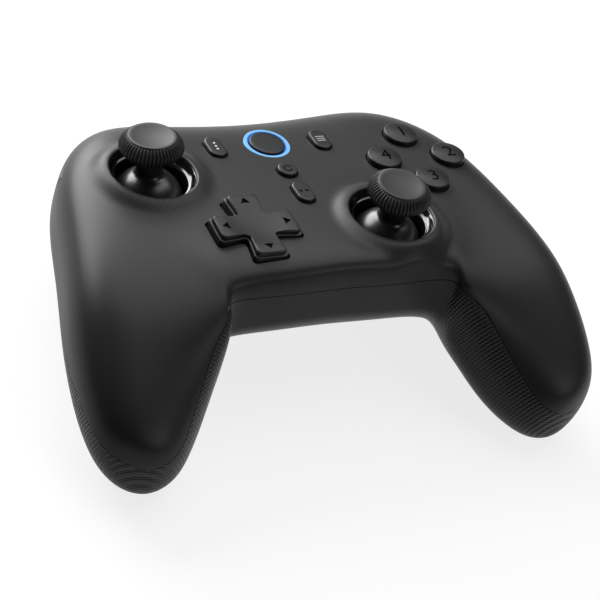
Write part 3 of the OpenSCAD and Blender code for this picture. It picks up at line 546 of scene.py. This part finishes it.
# CAD nodes that keep their shape, by finish
keptNodes = {
    "steel": ["trigger_pins", "left_trigger_spring", "right_trigger_spring", "usb_socket",
              "board_screws", "case_screws", "left_stick_module", "right_stick_module", "left_stick_shaft",
              "right_stick_shaft", "left_rumble_motor", "right_rumble_motor"],
    "brass": ["left_stick_gimbal", "right_stick_gimbal", "left_rumble_weight", "right_rumble_weight"],
    "gloss": ["bumper_switches", "usb_tongue", "key_switches"],
    "satin": ["left_shoulder_bracket", "right_shoulder_bracket", "pad_nub"],
    "board": ["main_board"],
    "cell": ["battery_pack"],
    "lamp": ["status_leds"],
    "rubber": ["key_membrane", "pad_membrane"],
}
nodeFinish = {"steel": platedSteel, "brass": turnedBrass, "gloss": glossAbs, "satin": keyAbs,
              "board": greenBoard, "cell": cellFilm, "lamp": lampResin, "rubber": capRubber}
for finish, names in keptNodes.items():
    for name in names:
        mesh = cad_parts[name].data
        mesh.materials.clear()
        mesh.materials.append(nodeFinish[finish])
print("inner pieces finished")

# Sticks: place from the home button, lean back and to the right in degrees, sizes in millimetres
sticks = {
    "left": {"place": (-41, -11.5), "lean": (4, -5)},
    "right": {"place": (21.5, -39), "lean": (-3, -1)},
}
well = {"radius": 12.3, "lip": 1.0, "rimRound": 0.65, "collarRise": 1.7, "collarRadius": 17.5,
        "fadeDepth": 6.0, "spread": 0.7, "cutRoom": 0.6}


def collarMound(points):
    # lifts the face into a flat rim with a soft mound round each well
    for s in sticks.values():
        there = deckAt(*s["place"])
        back = np.array(there.inverted())
        out = np.array(there)
        p = points * mm @ back[:3, :3].T + back[:3, 3]
        p /= mm
        reach = np.hypot(p[:, 0], p[:, 1])
        inner = well["radius"] + well["lip"]
        spread = well["collarRadius"] - inner + well["spread"] * np.clip(-p[:, 2], 0, well["fadeDepth"])
        w = smoothStep((reach - inner) / spread)
        fade = smoothStep((p[:, 2] + well["fadeDepth"]) / (well["fadeDepth"] / 2))
        p[:, 2] += (well["collarRise"] - p[:, 2]) * (1 - w) * fade
        points = (p * mm @ out[:3, :3].T + out[:3, 3]) / mm
    return points


def loftGrid(bm, across, around, lowAngle, highAngle, shape=None, edgeRound=0.3):
    # a grid laid over the body between two angles, its long edges rounded inwards
    bmesh.ops.create_grid(bm, x_segments=across, y_segments=around, size=1)
    bm.verts.ensure_lookup_table()
    flat = np.array([v.co for v in bm.verts])
    t = np.sin(np.abs(flat[:, 0]) * math.pi / 2)
    low, high = lowAngle(t), highAngle(t)
    a = low + (high - low) * (1 - np.cos((flat[:, 1] + 1) * math.pi / 2)) / 2
    points = skin(t, a)
    near = np.minimum(np.linalg.norm(points - skin(t, low), axis=1),
                      np.linalg.norm(points - skin(t, high), axis=1))
    near = np.clip(near, 0, edgeRound)
    sink = edgeRound - np.sqrt(edgeRound ** 2 - (edgeRound - near) ** 2)
    points -= skinNormal(t, a) * sink[:, None]
    points[:, 0] *= np.sign(flat[:, 0])
    points = shape(points) if shape else points
    points = np.clip(points * mm, cadLow, cadHigh)
    for v, p in zip(bm.verts, points):
        v.co = p
    bmesh.ops.remove_doubles(bm, verts=bm.verts, dist=2e-6)


# Shells
shells = {"across": 300, "around": 120, "edgeRound": 0.12}


def frontLow(t, gap=0.0):
    # angle of the front parting line, which is given as a share of the crown
    power = along("frontPower", t)
    share = along("seamFront", t) - gap / along("crown", t)
    return np.degrees(np.arccos((1 - share ** power) ** (1 / power)))


def frontHigh(t):
    return 180 - along("seamBack", t)


def backLow(t):
    return frontHigh(t) + bodyLoft["seamTurn"]


def backHigh(t):
    return 360 + frontLow(t, bodyLoft["seamGap"])


def shellMesh(name, low, high, shape=None):
    bm = bmesh.new()
    loftGrid(bm, shells["across"], shells["around"], low, high, shape, shells["edgeRound"])
    wall = {"thickness": bodyLoft["wall"] * mm, "offset": -1}
    return withModifiers(toMesh(name, bm), ("SOLIDIFY", wall))


# Keys on the face: places from the home button, radii, rises and travels in millimetres
faceKeys = {"group": (43.1, -12.6), "pitch": 10.8, "radius": 5.1, "rise": 2.2, "crown": 0.7, "edge": 0.45,
            "gap": 0.35, "travel": 1.3, "markDepth": 0.3, "markSize": 6.6}
keyTurns = {"top": (0, 1), "right": (1, 0), "bottom": (0, -1), "left": (-1, 0)}
keyMarks = {"top": "1", "right": "2", "bottom": "3", "left": "4"}
homeKey = {"radius": 5.3, "rise": 0.8, "ringOuter": 6.9, "ringInner": 5.6, "ringRise": 0.4, "travel": 0.5}
smallKeys = {"view": (-16.9, -0.7), "menu": (16.9, -0.7), "round": (0, -14.2), "share": (0, -25.1)}
smallKey = {"width": 5.4, "length": 9.2, "radius": 3.0, "rise": 1.2, "edge": 0.5, "travel": 0.6}
crossPad = {"place": (-21.3, -39), "length": 24, "arm": 7.6, "tip": 9, "rise": 2.6, "skirt": 0.6,
            "skirtDrop": 1.3, "corner": 1.4, "fillet": 1.2, "edge": 0.5, "dishRadius": 60,
            "dishDepth": 0.7, "drop": 4.5, "slice": 1.5}
insides = {"boardLevel": -15.6, "flangeDrop": 4.0, "flange": 1.0, "flangeLip": 1.0, "domeHeight": 4.0,
           "switchTop": 4.2, "rest": 0.2}


def crossOutline(grow):
    # flared arms with rounded tips and filleted inner corners
    c = crossPad
    n, e, l = c["arm"] / 2 + grow, c["tip"] / 2 + grow, c["length"] / 2 + grow
    k, f = c["corner"], c["fillet"]
    arm = [(e - k + x, l - k + y) for x, y in arc(0, 0, k, 0, 90, 6)]
    arm += [(-e + k + x, l - k + y) for x, y in arc(0, 0, k, 90, 180, 6)]
    arm += arc(-n - f, n + f, f, 0, -90, 5)
    points = []
    for turn in range(4):
        s, o = math.sin(math.pi / 2 * turn), math.cos(math.pi / 2 * turn)
        points += [(x * o - y * s, x * s + y * o) for x, y in arm]
    return points


def faceCutter():
    bm = bmesh.new()
    deep = 12 * mm
    rounds = [(deckAt(*s["place"], well["collarRise"]), well["radius"] + well["cutRoom"])
              for s in sticks.values()]
    for dx, dy in keyTurns.values():
        x, y = faceKeys["group"]
        rounds.append((deckAt(x + dx * faceKeys["pitch"], y + dy * faceKeys["pitch"]),
                       faceKeys["radius"] + faceKeys["gap"]))
    rounds.append((deckAt(0, 0), homeKey["ringOuter"] + 0.05))
    rounds.append((deckAt(*smallKeys["round"]), smallKey["radius"] + faceKeys["gap"]))
    for place, radius in rounds:
        bmesh.ops.create_cone(bm, cap_ends=True, segments=128, radius1=radius * mm, radius2=radius * mm,
                              depth=deep, matrix=place)
    for name in ("view", "menu", "share"):
        hole = pillOutline(smallKey["width"] + 2 * faceKeys["gap"],
                           smallKey["length"] + 2 * faceKeys["gap"])
        prism(bm, hole, -6, 6, deckAt(*smallKeys[name]))
    padHole = crossOutline(crossPad["skirt"] + faceKeys["gap"] + 0.15)
    prism(bm, padHole, -6, 6, levelAt(*crossPad["place"]))
    bmesh.ops.recalc_face_normals(bm, faces=bm.faces)
    return toMesh("faceCutter", bm)


# Shoulders: bumper's levels and pivot, trigger's size, millimetres from the home button
bumper = {"top": -9, "low": -18.5, "thick": 2.4, "pivot": (17.5, 12.5), "reach": 46, "end": 25.5, "gap": 0.4,
          "edgeRound": 0.5, "across": 90, "around": 28}
trigger = {"width": 21.5, "reach": 5, "tip": -33, "row": 0.195, "pivot": (-12, -15), "hub": 3.3, "bow": 3,
           "pin": 1.55, "spring": 6.6, "edge": 0.7, "slices": 18}


def shoulderAt():
    ends = [station(t)[1] for t in (0.13, 0.31)]
    turn = math.atan2(ends[1][1] - ends[0][1], ends[1][0] - ends[0][0])
    mid = station(trigger["row"])[1]
    return homeAt(mid[0], mid[1], 0) @ Matrix.Rotation(turn, 4, "Z")


flipX = Matrix.Scale(-1, 4, (1, 0, 0))


def bumperCutter():
    bm = bmesh.new()
    b = bumper
    reach, start = b["reach"] + b["gap"], b["end"] - b["pivot"][0] - b["gap"]
    sector = [(start, -20)] + arc(0, 0, reach, math.degrees(math.asin(-20 / reach)),
                                  math.degrees(math.asin(40 / reach)), 48) + [(start, 40)]
    for side in (Matrix(), flipX):
        prism(bm, sector, b["low"] - b["gap"], b["top"] + b["gap"], side @ homeAt(*b["pivot"], 0))
    bmesh.ops.recalc_face_normals(bm, faces=bm.faces)
    return toMesh("bumperCutter", bm)


def triggerCutter():
    bm = bmesh.new()
    w = trigger["width"] / 2 + 0.5
    y0 = trigger["pivot"][0] + trigger["hub"] - 2
    box = [(-w, y0), (w, y0), (w, y0 + 40), (-w, y0 + 40)]
    for side in (Matrix(), flipX):
        prism(bm, box, -60, bumper["low"] - 0.2, side @ shoulderAt())
    bmesh.ops.recalc_face_normals(bm, faces=bm.faces)
    return toMesh("triggerCutter", bm)


usbPort = {"width": 8.9, "height": 3.2, "depth": 8.0, "gap": 0.3}


def usbCutter():
    bm = bmesh.new()
    u = usbPort
    wall = float(station(0.0)[1][1])
    place = homeAt(0, 0, 0) @ deckTilt @ Matrix.Translation(
        Vector((0, wall - u["depth"] + 0.4, insides["boardLevel"] + u["height"] / 2)) * mm)
    slot = pillOutline(u["height"] + 2 * u["gap"], u["width"] + 2 * u["gap"])
    lay = Matrix.Rotation(math.pi / 2, 4, "X") @ Matrix.Rotation(math.pi / 2, 4, "Z")
    prism(bm, slot, -20, 0, place @ lay)
    bmesh.ops.recalc_face_normals(bm, faces=bm.faces)
    return toMesh("usbCutter", bm)


def makeFrontShell():
    mesh = shellMesh("frontShell", frontLow, frontHigh, collarMound)
    for cutter in (faceCutter(), bumperCutter(), triggerCutter(), usbCutter()):
        mesh = cutAway(mesh, cutter)
    # rounded rims of the two wells
    bm = bmesh.new()
    bm.from_mesh(mesh)
    for s in sticks.values():
        ring = bmesh.new()
        r, k = well["radius"], well["rimRound"]
        rim = [(r, -4)] + arc(r + k, -k, k, 180, 90, 8) + [(r + k, -4)]
        lathe(ring, [(x, z + 0.01) for x, z in rim], 160, closed=True)
        bmesh.ops.transform(ring, matrix=deckAt(*s["place"], well["collarRise"]), verts=ring.verts)
        absorb(bm, ring)
    addPiece("frontShell", toMesh("frontShell", bm), [shellAbs], "housing", ["front_shell"])


# Screw posts on the right half: place and level where the shells meet, millimetres from the home button
posts = {"places": [(29, -22, -18), (60, -65, -30)], "radius": 3.4, "bore": 2.6, "seat": 4.0}


def boreCutter():
    bm = bmesh.new()
    for side in (Matrix(), flipX):
        for x, y, z in posts["places"]:
            bmesh.ops.create_cone(bm, cap_ends=True, segments=48, radius1=posts["bore"] * mm,
                                  radius2=posts["bore"] * mm, depth=40 * mm,
                                  matrix=side @ homeAt(x, y, z - 3 - 20))
    bmesh.ops.recalc_face_normals(bm, faces=bm.faces)
    return toMesh("boreCutter", bm)


restFlat = {"width": 48, "depth": 0.6}


def flattenRest(points):
    # flat rest on the belly
    level = float(skin(np.array(0.0), np.array(270.0))[2]) + restFlat["depth"]
    inside = (np.abs(points[:, 0]) < restFlat["width"] / 2) & (points[:, 2] < level)
    points[inside, 2] = level
    return points


def makeBackShell():
    mesh = shellMesh("backShell", backLow, backHigh, flattenRest)
    for cutter in (boreCutter(), bumperCutter(), triggerCutter()):
        mesh = cutAway(mesh, cutter)
    bm = bmesh.new()
    bm.from_mesh(mesh)
    for side in (Matrix(), flipX):
        for x, y, z in posts["places"]:
            tube = bmesh.new()
            low = faceLevel(x, y, under=True) + 1.2
            lathe(tube, [(posts["bore"], low), (posts["radius"], low), (posts["radius"], z), (1.3, z),
                         (1.3, z - posts["seat"]), (posts["bore"], z - posts["seat"])], 48, closed=True)
            bmesh.ops.transform(tube, matrix=side @ homeAt(x, y, 0), verts=tube.verts)
            bmesh.ops.recalc_face_normals(tube, faces=tube.faces)
            absorb(bm, tube)
    addPiece("backShell", toMesh("backShell", bm), [gripAbs], "housing", ["back_shell"])


makeFrontShell()
makeBackShell()
print("shells made")


# Bumpers: a patch of the body between two levels, from the inner end to the reach of the pivot
def angleAtLevel(t, level):
    low, high = np.full_like(t, 110.0), np.full_like(t, 215.0)
    for _ in range(30):
        a = (low + high) / 2
        above = skin(t, a)[..., 2] - home[2] > level
        low, high = np.where(above, a, low), np.where(above, high, a)
    return a


def rowWhere(level, reached):
    low, high = np.full_like(level, 0.02), np.full_like(level, 0.55)
    for _ in range(30):
        t = (low + high) / 2
        past = reached(skin(t, angleAtLevel(t, level)) - home)
        low, high = np.where(past, low, t), np.where(past, t, high)
    return t


def makeBumper(side, turn):
    b = bumper
    bm = bmesh.new()
    bmesh.ops.create_grid(bm, x_segments=b["across"], y_segments=b["around"], size=1)
    flat = np.array([v.co for v in bm.verts])
    level = b["top"] + (b["low"] - b["top"]) * (1 - np.cos((flat[:, 1] + 1) * math.pi / 2)) / 2
    inner = rowWhere(level, lambda p: p[..., 0] > b["end"])
    pivotX, pivotY = b["pivot"]
    outer = rowWhere(level, lambda p: np.hypot(p[..., 0] - pivotX, p[..., 1] - pivotY) > b["reach"])
    share = (1 - np.cos((flat[:, 0] + 1) * math.pi / 2)) / 2
    t = inner + (outer - inner) * share
    a = angleAtLevel(t, level)
    points = skin(t, a)
    sides = [skin(inner, angleAtLevel(inner, level)), skin(outer, angleAtLevel(outer, level)),
             skin(t, angleAtLevel(t, np.full_like(t, b["top"]))),
             skin(t, angleAtLevel(t, np.full_like(t, b["low"])))]
    normal = skinNormal(t, a)
    for s in sides:
        near = np.clip(np.linalg.norm(points - s, axis=1), 0, b["edgeRound"])
        sink = b["edgeRound"] - np.sqrt(b["edgeRound"] ** 2 - (b["edgeRound"] - near) ** 2)
        points = points - normal * sink[:, None]
    points = np.clip(points * mm, cadLow, cadHigh)
    for v, p in zip(bm.verts, points):
        v.co = p
    wall = {"thickness": b["thick"] * mm, "offset": -1}
    mesh = withModifiers(toMesh("bumper", bm), ("SOLIDIFY", wall))
    bm = bmesh.new()
    bm.from_mesh(mesh)
    # hub and arm behind the skin
    height = b["top"] - b["low"]
    hub = bmesh.new()
    lathe(hub, [(1.55, 0), (2.7, 0), (2.7, height), (1.55, height)], 48, closed=True)
    armTop, armLow = height, height - 2.3
    prism(hub, [(1.9, 0.8), (10, 0.8), (10, 7), (8.2, 7), (8.2, 2.6), (1.9, 2.6)], armLow, armTop)
    bmesh.ops.transform(hub, matrix=homeAt(*b["pivot"], b["low"]), verts=hub.verts)
    absorb(bm, hub)
    bmesh.ops.transform(bm, matrix=turn, verts=bm.verts)
    bmesh.ops.recalc_face_normals(bm, faces=bm.faces)
    addPiece(side + "Bumper", toMesh("bumper", bm), [keyAbs], side + "_bumper",
             [side + "_bumper"])


def makeTrigger(side, turn):
    g = trigger
    top, tip = bumper["low"] - 0.7, (g["reach"], g["tip"])
    py, pz = g["pivot"]
    hubArc = arc(py, pz, g["hub"], 60, 250, 14)
    profile = hubArc + [(py + 3.4, top - 4.0), (-1.5, tip[1] + 5.5), (0.6, tip[1] + 1.8),
                        (tip[0] - 1.4, tip[1] - 0.6), (tip[0] - 0.2, tip[1] - 0.2),
                        (tip[0], tip[1] + 0.8), (tip[0] - 0.5, tip[1] + 4),
                        (tip[0] - 1.2, (top + tip[1]) / 2 - 1), (3.4, top - 3.2),
                        (2.6, top - 1), (1.2, top)]
    bm = bmesh.new()
    half = g["width"] / 2
    face = bm.faces.new([bm.verts.new((-half * mm, y * mm, z * mm)) for y, z in profile])
    for _ in range(g["slices"]):
        raised = bmesh.ops.extrude_face_region(bm, geom=[face], use_keep_orig=False)["geom"]
        face = [r for r in raised if isinstance(r, bmesh.types.BMFace)][0]
        bmesh.ops.translate(bm, verts=face.verts, vec=(g["width"] / g["slices"] * mm, 0, 0))
    for v in bm.verts:
        out = min(1, max(0, (v.co.y / mm - (py + g["hub"])) / 8))
        v.co.y -= g["bow"] * mm * (v.co.x / (half * mm)) ** 2 * out
    bmesh.ops.recalc_face_normals(bm, faces=bm.faces)
    rounded = {"width": g["edge"] * mm, "segments": 3, "limit_method": "ANGLE",
               "angle_limit": math.radians(50)}
    mesh = withModifiers(toMesh("trigger", bm), ("BEVEL", rounded))
    cut = bmesh.new()
    bmesh.ops.create_cone(cut, cap_ends=True, segments=48, radius1=g["pin"] * mm, radius2=g["pin"] * mm,
                          depth=60 * mm, matrix=Matrix.Translation((0, py * mm, pz * mm))
                          @ Matrix.Rotation(math.pi / 2, 4, "Y"))
    mesh = cutAway(mesh, toMesh("pinBore", cut))
    cut = bmesh.new()
    w = g["spring"] / 2
    prism(cut, [(-w, py - 6), (w, py - 6), (w, py + 6), (-w, py + 6)], pz - 5, pz + 15)
    mesh = cutAway(mesh, toMesh("springSlot", cut))
    mesh.transform(turn @ shoulderAt())
    if turn.determinant() < 0:
        mesh.flip_normals()
    addPiece(side + "Trigger", mesh, [keyAbs], side + "_trigger", [side + "_trigger"],
             sharp=40)


for side, turn in (("right", Matrix()), ("left", flipX)):
    makeBumper(side, turn)
    makeTrigger(side, turn)
print("bumpers and triggers made")

# Stick pieces, millimetres from the pivot along the stick
stickBuild = {"pivotDepth": 11, "dome": 10.6, "skirt": 2.8, "neck": 3.8, "neckFoot": 1.6, "capRadius": 9.2,
              "capHeight": 6.2, "capRise": 11.2, "disc": 6.25, "dish": 0.9, "ribs": 52,
              "ribSteps": 8, "ribDepth": 0.5}


def stickAt(s):
    back, right = (math.radians(d) for d in s["lean"])
    lean = Matrix.Rotation(-back, 4, "X") @ Matrix.Rotation(right, 4, "Y")
    return deckAt(*s["place"], well["collarRise"] - stickBuild["pivotDepth"]) @ lean


def makeCap(side, s):
    b = stickBuild
    top = b["pivotDepth"] + b["capRise"]
    low = top - b["capHeight"]
    r, d = b["capRadius"], b["disc"]
    ball = (d * d + b["dish"] ** 2) / (2 * b["dish"])
    dish = [(d * (1 - i / 10), top - b["dish"] + ball - math.sqrt(ball ** 2 - (d * (1 - i / 10)) ** 2))
            for i in range(11)]
    profile = [(0, low + 0.6), (4.2, low + 0.6), (4.6, low), (6.4, low), (6.9, low + 0.12), (7.5, low + 0.45),
               (8.2, low + 0.95), (8.75, low + 1.6), (9.08, low + 2.2), (r, low + 2.75), (9.16, low + 3.3),
               (9.0, low + 3.85), (8.7, low + 4.4), (8.3, low + 4.9), (7.85, low + 5.3), (7.4, low + 5.6),
               (7.05, low + 5.75), (6.9, low + 5.78), (6.86, low + 5.98), (6.74, low + 6.12), (6.56, top),
               (6.38, top - 0.03)] + dish
    bm = bmesh.new()
    lathe(bm, profile, b["ribs"] * b["ribSteps"])
    for v in bm.verts:
        reach, level = math.hypot(v.co.x, v.co.y) / mm, v.co.z / mm
        if reach < 6.95 or level < low + 0.1:
            continue
        wave = 0.5 + 0.5 * math.cos(b["ribs"] * math.atan2(v.co.y, v.co.x))
        ends = min(1, (level - low - 0.1) / 0.8) * min(1, (reach - 6.95) / 0.3)
        sink = b["ribDepth"] * wave ** 1.5 * ends
        inward = Vector((6.6 - reach, low + 3.0 - level)).normalized() * sink
        grown = (reach + inward.x) / reach
        v.co = Vector((v.co.x * grown, v.co.y * grown, v.co.z + inward.y * mm))
    bmesh.ops.transform(bm, matrix=stickAt(s), verts=bm.verts)
    addPiece(side + "StickCap", toMesh("cap", bm), [capRubber], side + "_stick",
             [side + "_stick_cap"], sharp=60)


def makePost(side, s):
    b = stickBuild
    reach, f = b["dome"], b["neckFoot"]
    # fillet that joins the neck to the dome
    centre = (b["neck"] + f, math.sqrt((reach + f) ** 2 - (b["neck"] + f) ** 2))
    meet = math.degrees(math.atan2(centre[1], centre[0]))
    start = math.degrees(math.asin(b["skirt"] / reach))
    profile = arc(0, 0, reach, start, meet, 20)
    profile += arc(centre[0], centre[1], f, 180 + meet, 180, 8)
    profile += [(b["neck"], b["pivotDepth"] + b["capRise"] - b["capHeight"] + 1.5), (0, 17.5),
                (0, 13.2), (1.95, 13.2), (1.95, 6.2), (5, 6), (6.6, 4.6), (7.2, b["skirt"])]
    bm = bmesh.new()
    lathe(bm, profile, 128, closed=True)
    bmesh.ops.delete(bm, geom=[e for e in bm.edges if e.is_wire], context="EDGES")
    bmesh.ops.transform(bm, matrix=stickAt(s), verts=bm.verts)
    addPiece(side + "StickPost", toMesh("post", bm), [postAbs], side + "_stick",
             [side + "_stick_post"], sharp=50)


def makeWellRing(side, s):
    r = well["radius"] - 0.03
    profile = [(r, -0.6), (r - 0.12, -0.7), (r - 0.5, -1.5), (r - 1.1, -2.35), (r - 1.3, -2.5),
               (r - 1.55, -2.52), (r - 1.75, -2.62), (r - 1.87, -2.85), (r - 1.9, -3.1),
               (r - 1.9, -5.6), (r, -5.6)]
    bm = bmesh.new()
    lathe(bm, profile, 160, closed=True)
    bmesh.ops.transform(bm, matrix=deckAt(*s["place"], well["collarRise"]), verts=bm.verts)
    addPiece(side + "WellRing", toMesh("wellRing", bm), [glossAbs], "housing",
             [side + "_well_ring"], sharp=50)


for side, s in sticks.items():
    makeCap(side, s)
    makePost(side, s)
    makeWellRing(side, s)
print("sticks made")


# Marks cut into the keys
def numeralCutter(text, size, depth, level):
    curve = bpy.data.curves.new("numeral", "FONT")
    curve.body = text
    curve.size = size * mm
    curve.align_x, curve.align_y = "CENTER", "CENTER"
    curve.extrude = depth * mm
    holder = bpy.data.objects.new("numeral", curve)
    bpy.context.scene.collection.objects.link(holder)
    bpy.context.view_layer.update()
    mesh = bpy.data.meshes.new_from_object(holder.evaluated_get(bpy.context.evaluated_depsgraph_get()))
    bpy.data.objects.remove(holder)
    bm = bmesh.new()
    bm.from_mesh(mesh)
    bmesh.ops.remove_doubles(bm, verts=bm.verts, dist=1e-6)
    xs = [v.co.x for v in bm.verts]
    ys = [v.co.y for v in bm.verts]
    middle = Vector((-(min(xs) + max(xs)) / 2, -(min(ys) + max(ys)) / 2, level * mm))
    bmesh.ops.translate(bm, verts=bm.verts, vec=middle)
    bmesh.ops.recalc_face_normals(bm, faces=bm.faces)
    return toMesh("numeral", bm)


def deckLevel(x, y):
    # height of a place in the tilted deck's own frame
    return y * math.sin(deckAngle) + faceLevel(x, y) * math.cos(deckAngle)


def keyProfile(radius, rise, crown, edge, bottom, stem):
    i = insides
    drop = -i["flangeDrop"]
    side = rise - crown - edge
    ball = (radius ** 2 + crown ** 2) / (2 * crown)
    inner = radius - edge
    brim = rise - ball + math.sqrt(ball ** 2 - inner ** 2)
    dome = [(inner * (1 - n / 8), rise - ball + math.sqrt(ball ** 2 - (inner * (1 - n / 8)) ** 2))
            for n in range(9)]
    turn = arc(radius - edge, brim - edge, edge, 0, 75, 5)
    lip, under = radius + i["flangeLip"], drop - i["flange"]
    return [(0, bottom), (stem, bottom), (stem, under), (lip, under),
            (lip, drop), (radius, drop), (radius, side - 0.6)] + turn + dome


def makeFaceKey(name, dx, dy):
    k = faceKeys
    x, y = k["group"][0] + dx * k["pitch"], k["group"][1] + dy * k["pitch"]
    i = insides
    bottom = i["boardLevel"] - deckLevel(x, y) + i["domeHeight"] + k["travel"] + i["rest"]
    bm = bmesh.new()
    lathe(bm, keyProfile(k["radius"], k["rise"], k["crown"], k["edge"], bottom, 2.0), 96)
    mesh = toMesh("key", bm)
    mesh.materials.append(keyAbs)
    level = k["rise"] - 0.15
    numeral = numeralCutter(keyMarks[name], k["markSize"], k["markDepth"], level + 0.05)
    mesh = cutAway(mesh, numeral, "EXACT", sunkMark)
    mesh.transform(deckAt(x, y))
    node = "face_button_" + name
    addPiece("faceKey" + name.capitalize(), mesh, [keyAbs], node, [node])


def smallMarks(name):
    # three dots, three bars, a ring or a pair of dots, flat outlines in millimetres
    if name == "view":
        return [[(x, y + 1.4 * n) for x, y in arc(0, 0, 0.42, 0, 330, 11)] for n in (-1, 0, 1)]
    if name == "menu":
        return [[(-1.4, n - 0.18), (1.4, n - 0.18), (1.4, n + 0.18), (-1.4, n + 0.18)]
                for n in (-0.95, 0, 0.95)]
    if name == "share":
        return [[(x + 0.95 * n, y) for x, y in arc(0, 0, 0.5, 0, 330, 11)] for n in (-1, 1)]
    return [arc(0, 0, 1.35, 20, 340, 28) + arc(0, 0, 0.95, 340, 20, 28)]


def makeSmallKey(name):
    k, i = smallKey, insides
    x, y = smallKeys[name]
    bottom = i["boardLevel"] - deckLevel(x, y) + i["switchTop"] + k["travel"] + i["rest"]
    drop = -i["flangeDrop"]
    bm = bmesh.new()
    if name == "round":
        shape = arc(0, 0, k["radius"], 0, 354, 59)
        flange = arc(0, 0, k["radius"] + 0.8, 0, 350, 35)
    else:
        shape = pillOutline(k["width"], k["length"], 20)
        flange = pillOutline(k["width"] + 1.6, k["length"] + 1, 20)
    top = prism(bm, shape, drop, k["rise"] - k["edge"])
    roundTop(bm, top, k["edge"], 4)
    for inset in (0.6, 0.7):
        bmesh.ops.inset_region(bm, faces=[top], thickness=inset * mm, use_even_offset=True)
    bmesh.ops.recalc_face_normals(bm, faces=bm.faces)
    mesh = toMesh("smallKey", bm)
    mesh.materials.append(keyAbs)
    cut = bmesh.new()
    for mark in smallMarks(name):
        prism(cut, mark, k["rise"] - 0.12, k["rise"] + 0.5)
    bmesh.ops.recalc_face_normals(cut, faces=cut.faces)
    ink = paleInk if name in ("view", "menu") else sunkMark
    mesh = cutAway(mesh, toMesh("mark", cut), "EXACT", ink)
    joined(mesh, lambda b: prism(b, flange, drop - i["flange"], drop),
           lambda b: prism(b, arc(0, 0, 1.5, 0, 345, 23), bottom, drop - i["flange"]))
    mesh.transform(deckAt(x, y))
    addPiece(name + "Key", mesh, [keyAbs], name + "_button", [name + "_button"])


def makeHomeKey():
    k, i = homeKey, insides
    depth = 4.6
    bottom = i["boardLevel"] - deckLevel(0, 0) + i["switchTop"] + k["travel"] + i["rest"]
    r = k["radius"]
    profile = [(0, bottom), (1.6, bottom), (1.6, -depth - 1.6), (r + 0.8, -depth - 1.6),
               (r + 0.8, -depth - 0.6), (r, -depth - 0.6), (r, k["rise"] - 0.4)]
    profile += arc(r - 0.35, k["rise"] - 0.4, 0.35, 0, 80, 5)
    profile += [(4.4, k["rise"] - 0.02), (3.4, k["rise"]), (2, k["rise"]), (0, k["rise"])]
    bm = bmesh.new()
    lathe(bm, profile, 128)
    bmesh.ops.transform(bm, matrix=deckAt(0, 0), verts=bm.verts)
    addPiece("homeKey", toMesh("homeKey", bm), [keyAbs], "home_button", ["home_button"])
    # light guide round it
    o, n, rise = k["ringOuter"], k["ringInner"], k["ringRise"]
    ring = [(n, -depth), (o + 1, -depth), (o + 1, -depth + 0.8), (o, -depth + 0.8), (o, rise - 0.15),
            (o - 0.15, rise), (n + 0.3, rise), (n, rise - 0.3)]
    bm = bmesh.new()
    lathe(bm, ring, 160, closed=True)
    # faces at the inner edge take the deeper blue, painted shade of the guide's inner wall
    for face in bm.faces:
        c = face.calc_center_median()
        face.material_index = 1 if math.hypot(c.x, c.y) < (n + 0.25) * mm else 0
    bmesh.ops.transform(bm, matrix=deckAt(0, 0), verts=bm.verts)
    addPiece("lightGuide", toMesh("lightGuide", bm), [guideBand, guideWallPaintedShade], "housing",
             ["light_ring"])


def dishTop(verts, radius, depth, rise):
    # sinks the top of the pad into a shallow ball
    for v in verts:
        reach = (v.co.x ** 2 + v.co.y ** 2) / mm ** 2
        ball = rise - depth + radius - math.sqrt(radius ** 2 - reach)
        if v.co.z / mm > ball:
            v.co.z = ball * mm


def makeCrossPad():
    c, i = crossPad, insides
    bm = bmesh.new()
    top = prism(bm, crossOutline(0), -c["drop"], c["rise"] - c["edge"])
    roundTop(bm, top, c["edge"], 4)
    # slices over the top, so that it can sink into a dish
    steps = int(c["length"] / c["slice"])
    for axis in (Vector((1, 0, 0)), Vector((0, 1, 0))):
        for n in range(1, steps):
            flat = [f for f in bm.faces
                    if f.normal.z > 0.9 and f.calc_center_median().z > (c["rise"] - 0.1) * mm]
            bmesh.ops.bisect_plane(bm, geom=flat + list({e for f in flat for e in f.edges})
                                   + list({v for f in flat for v in f.verts}), dist=1e-6,
                                   plane_co=axis * (n - steps / 2) * c["slice"] * mm, plane_no=axis)
    upper = [v for v in bm.verts if v.co.z > (c["rise"] - 0.9) * mm]
    dishTop(upper, c["dishRadius"], c["dishDepth"], c["rise"])
    bmesh.ops.triangulate(bm, faces=[f for f in bm.faces if len(f.verts) > 4])
    bmesh.ops.recalc_face_normals(bm, faces=bm.faces)
    mesh = toMesh("crossPad", bm)
    mesh.materials.append(keyAbs)
    cut = bmesh.new()
    for turn in range(4):
        arrow = [(-1.45, 8.4), (1.45, 8.4), (0, 10.5)]
        prism(cut, arrow, c["rise"] - 0.45, c["rise"] + 1, Matrix.Rotation(math.pi / 2 * turn, 4, "Z"))
    bmesh.ops.recalc_face_normals(cut, faces=cut.faces)
    mesh = cutAway(mesh, toMesh("arrows", cut), "EXACT", sunkMark)

    def skirt(b):
        step = prism(b, crossOutline(c["skirt"]), -c["drop"], c["rise"] - c["skirtDrop"] - 0.25)
        roundTop(b, step, 0.25, 3)

    flange = arc(0, 0, c["length"] / 2 - 0.5, 0, 352.5, 47)
    joined(mesh, skirt, lambda b: prism(b, flange, -c["drop"] - i["flange"], -c["drop"]))
    mesh.transform(levelAt(*c["place"]))
    addPiece("crossPad", mesh, [keyAbs], "cross_pad", ["cross_pad"])


for name, (dx, dy) in keyTurns.items():
    makeFaceKey(name, dx, dy)
for name in smallKeys:
    makeSmallKey(name)
makeHomeKey()
makeCrossPad()
print("keys and pad made")
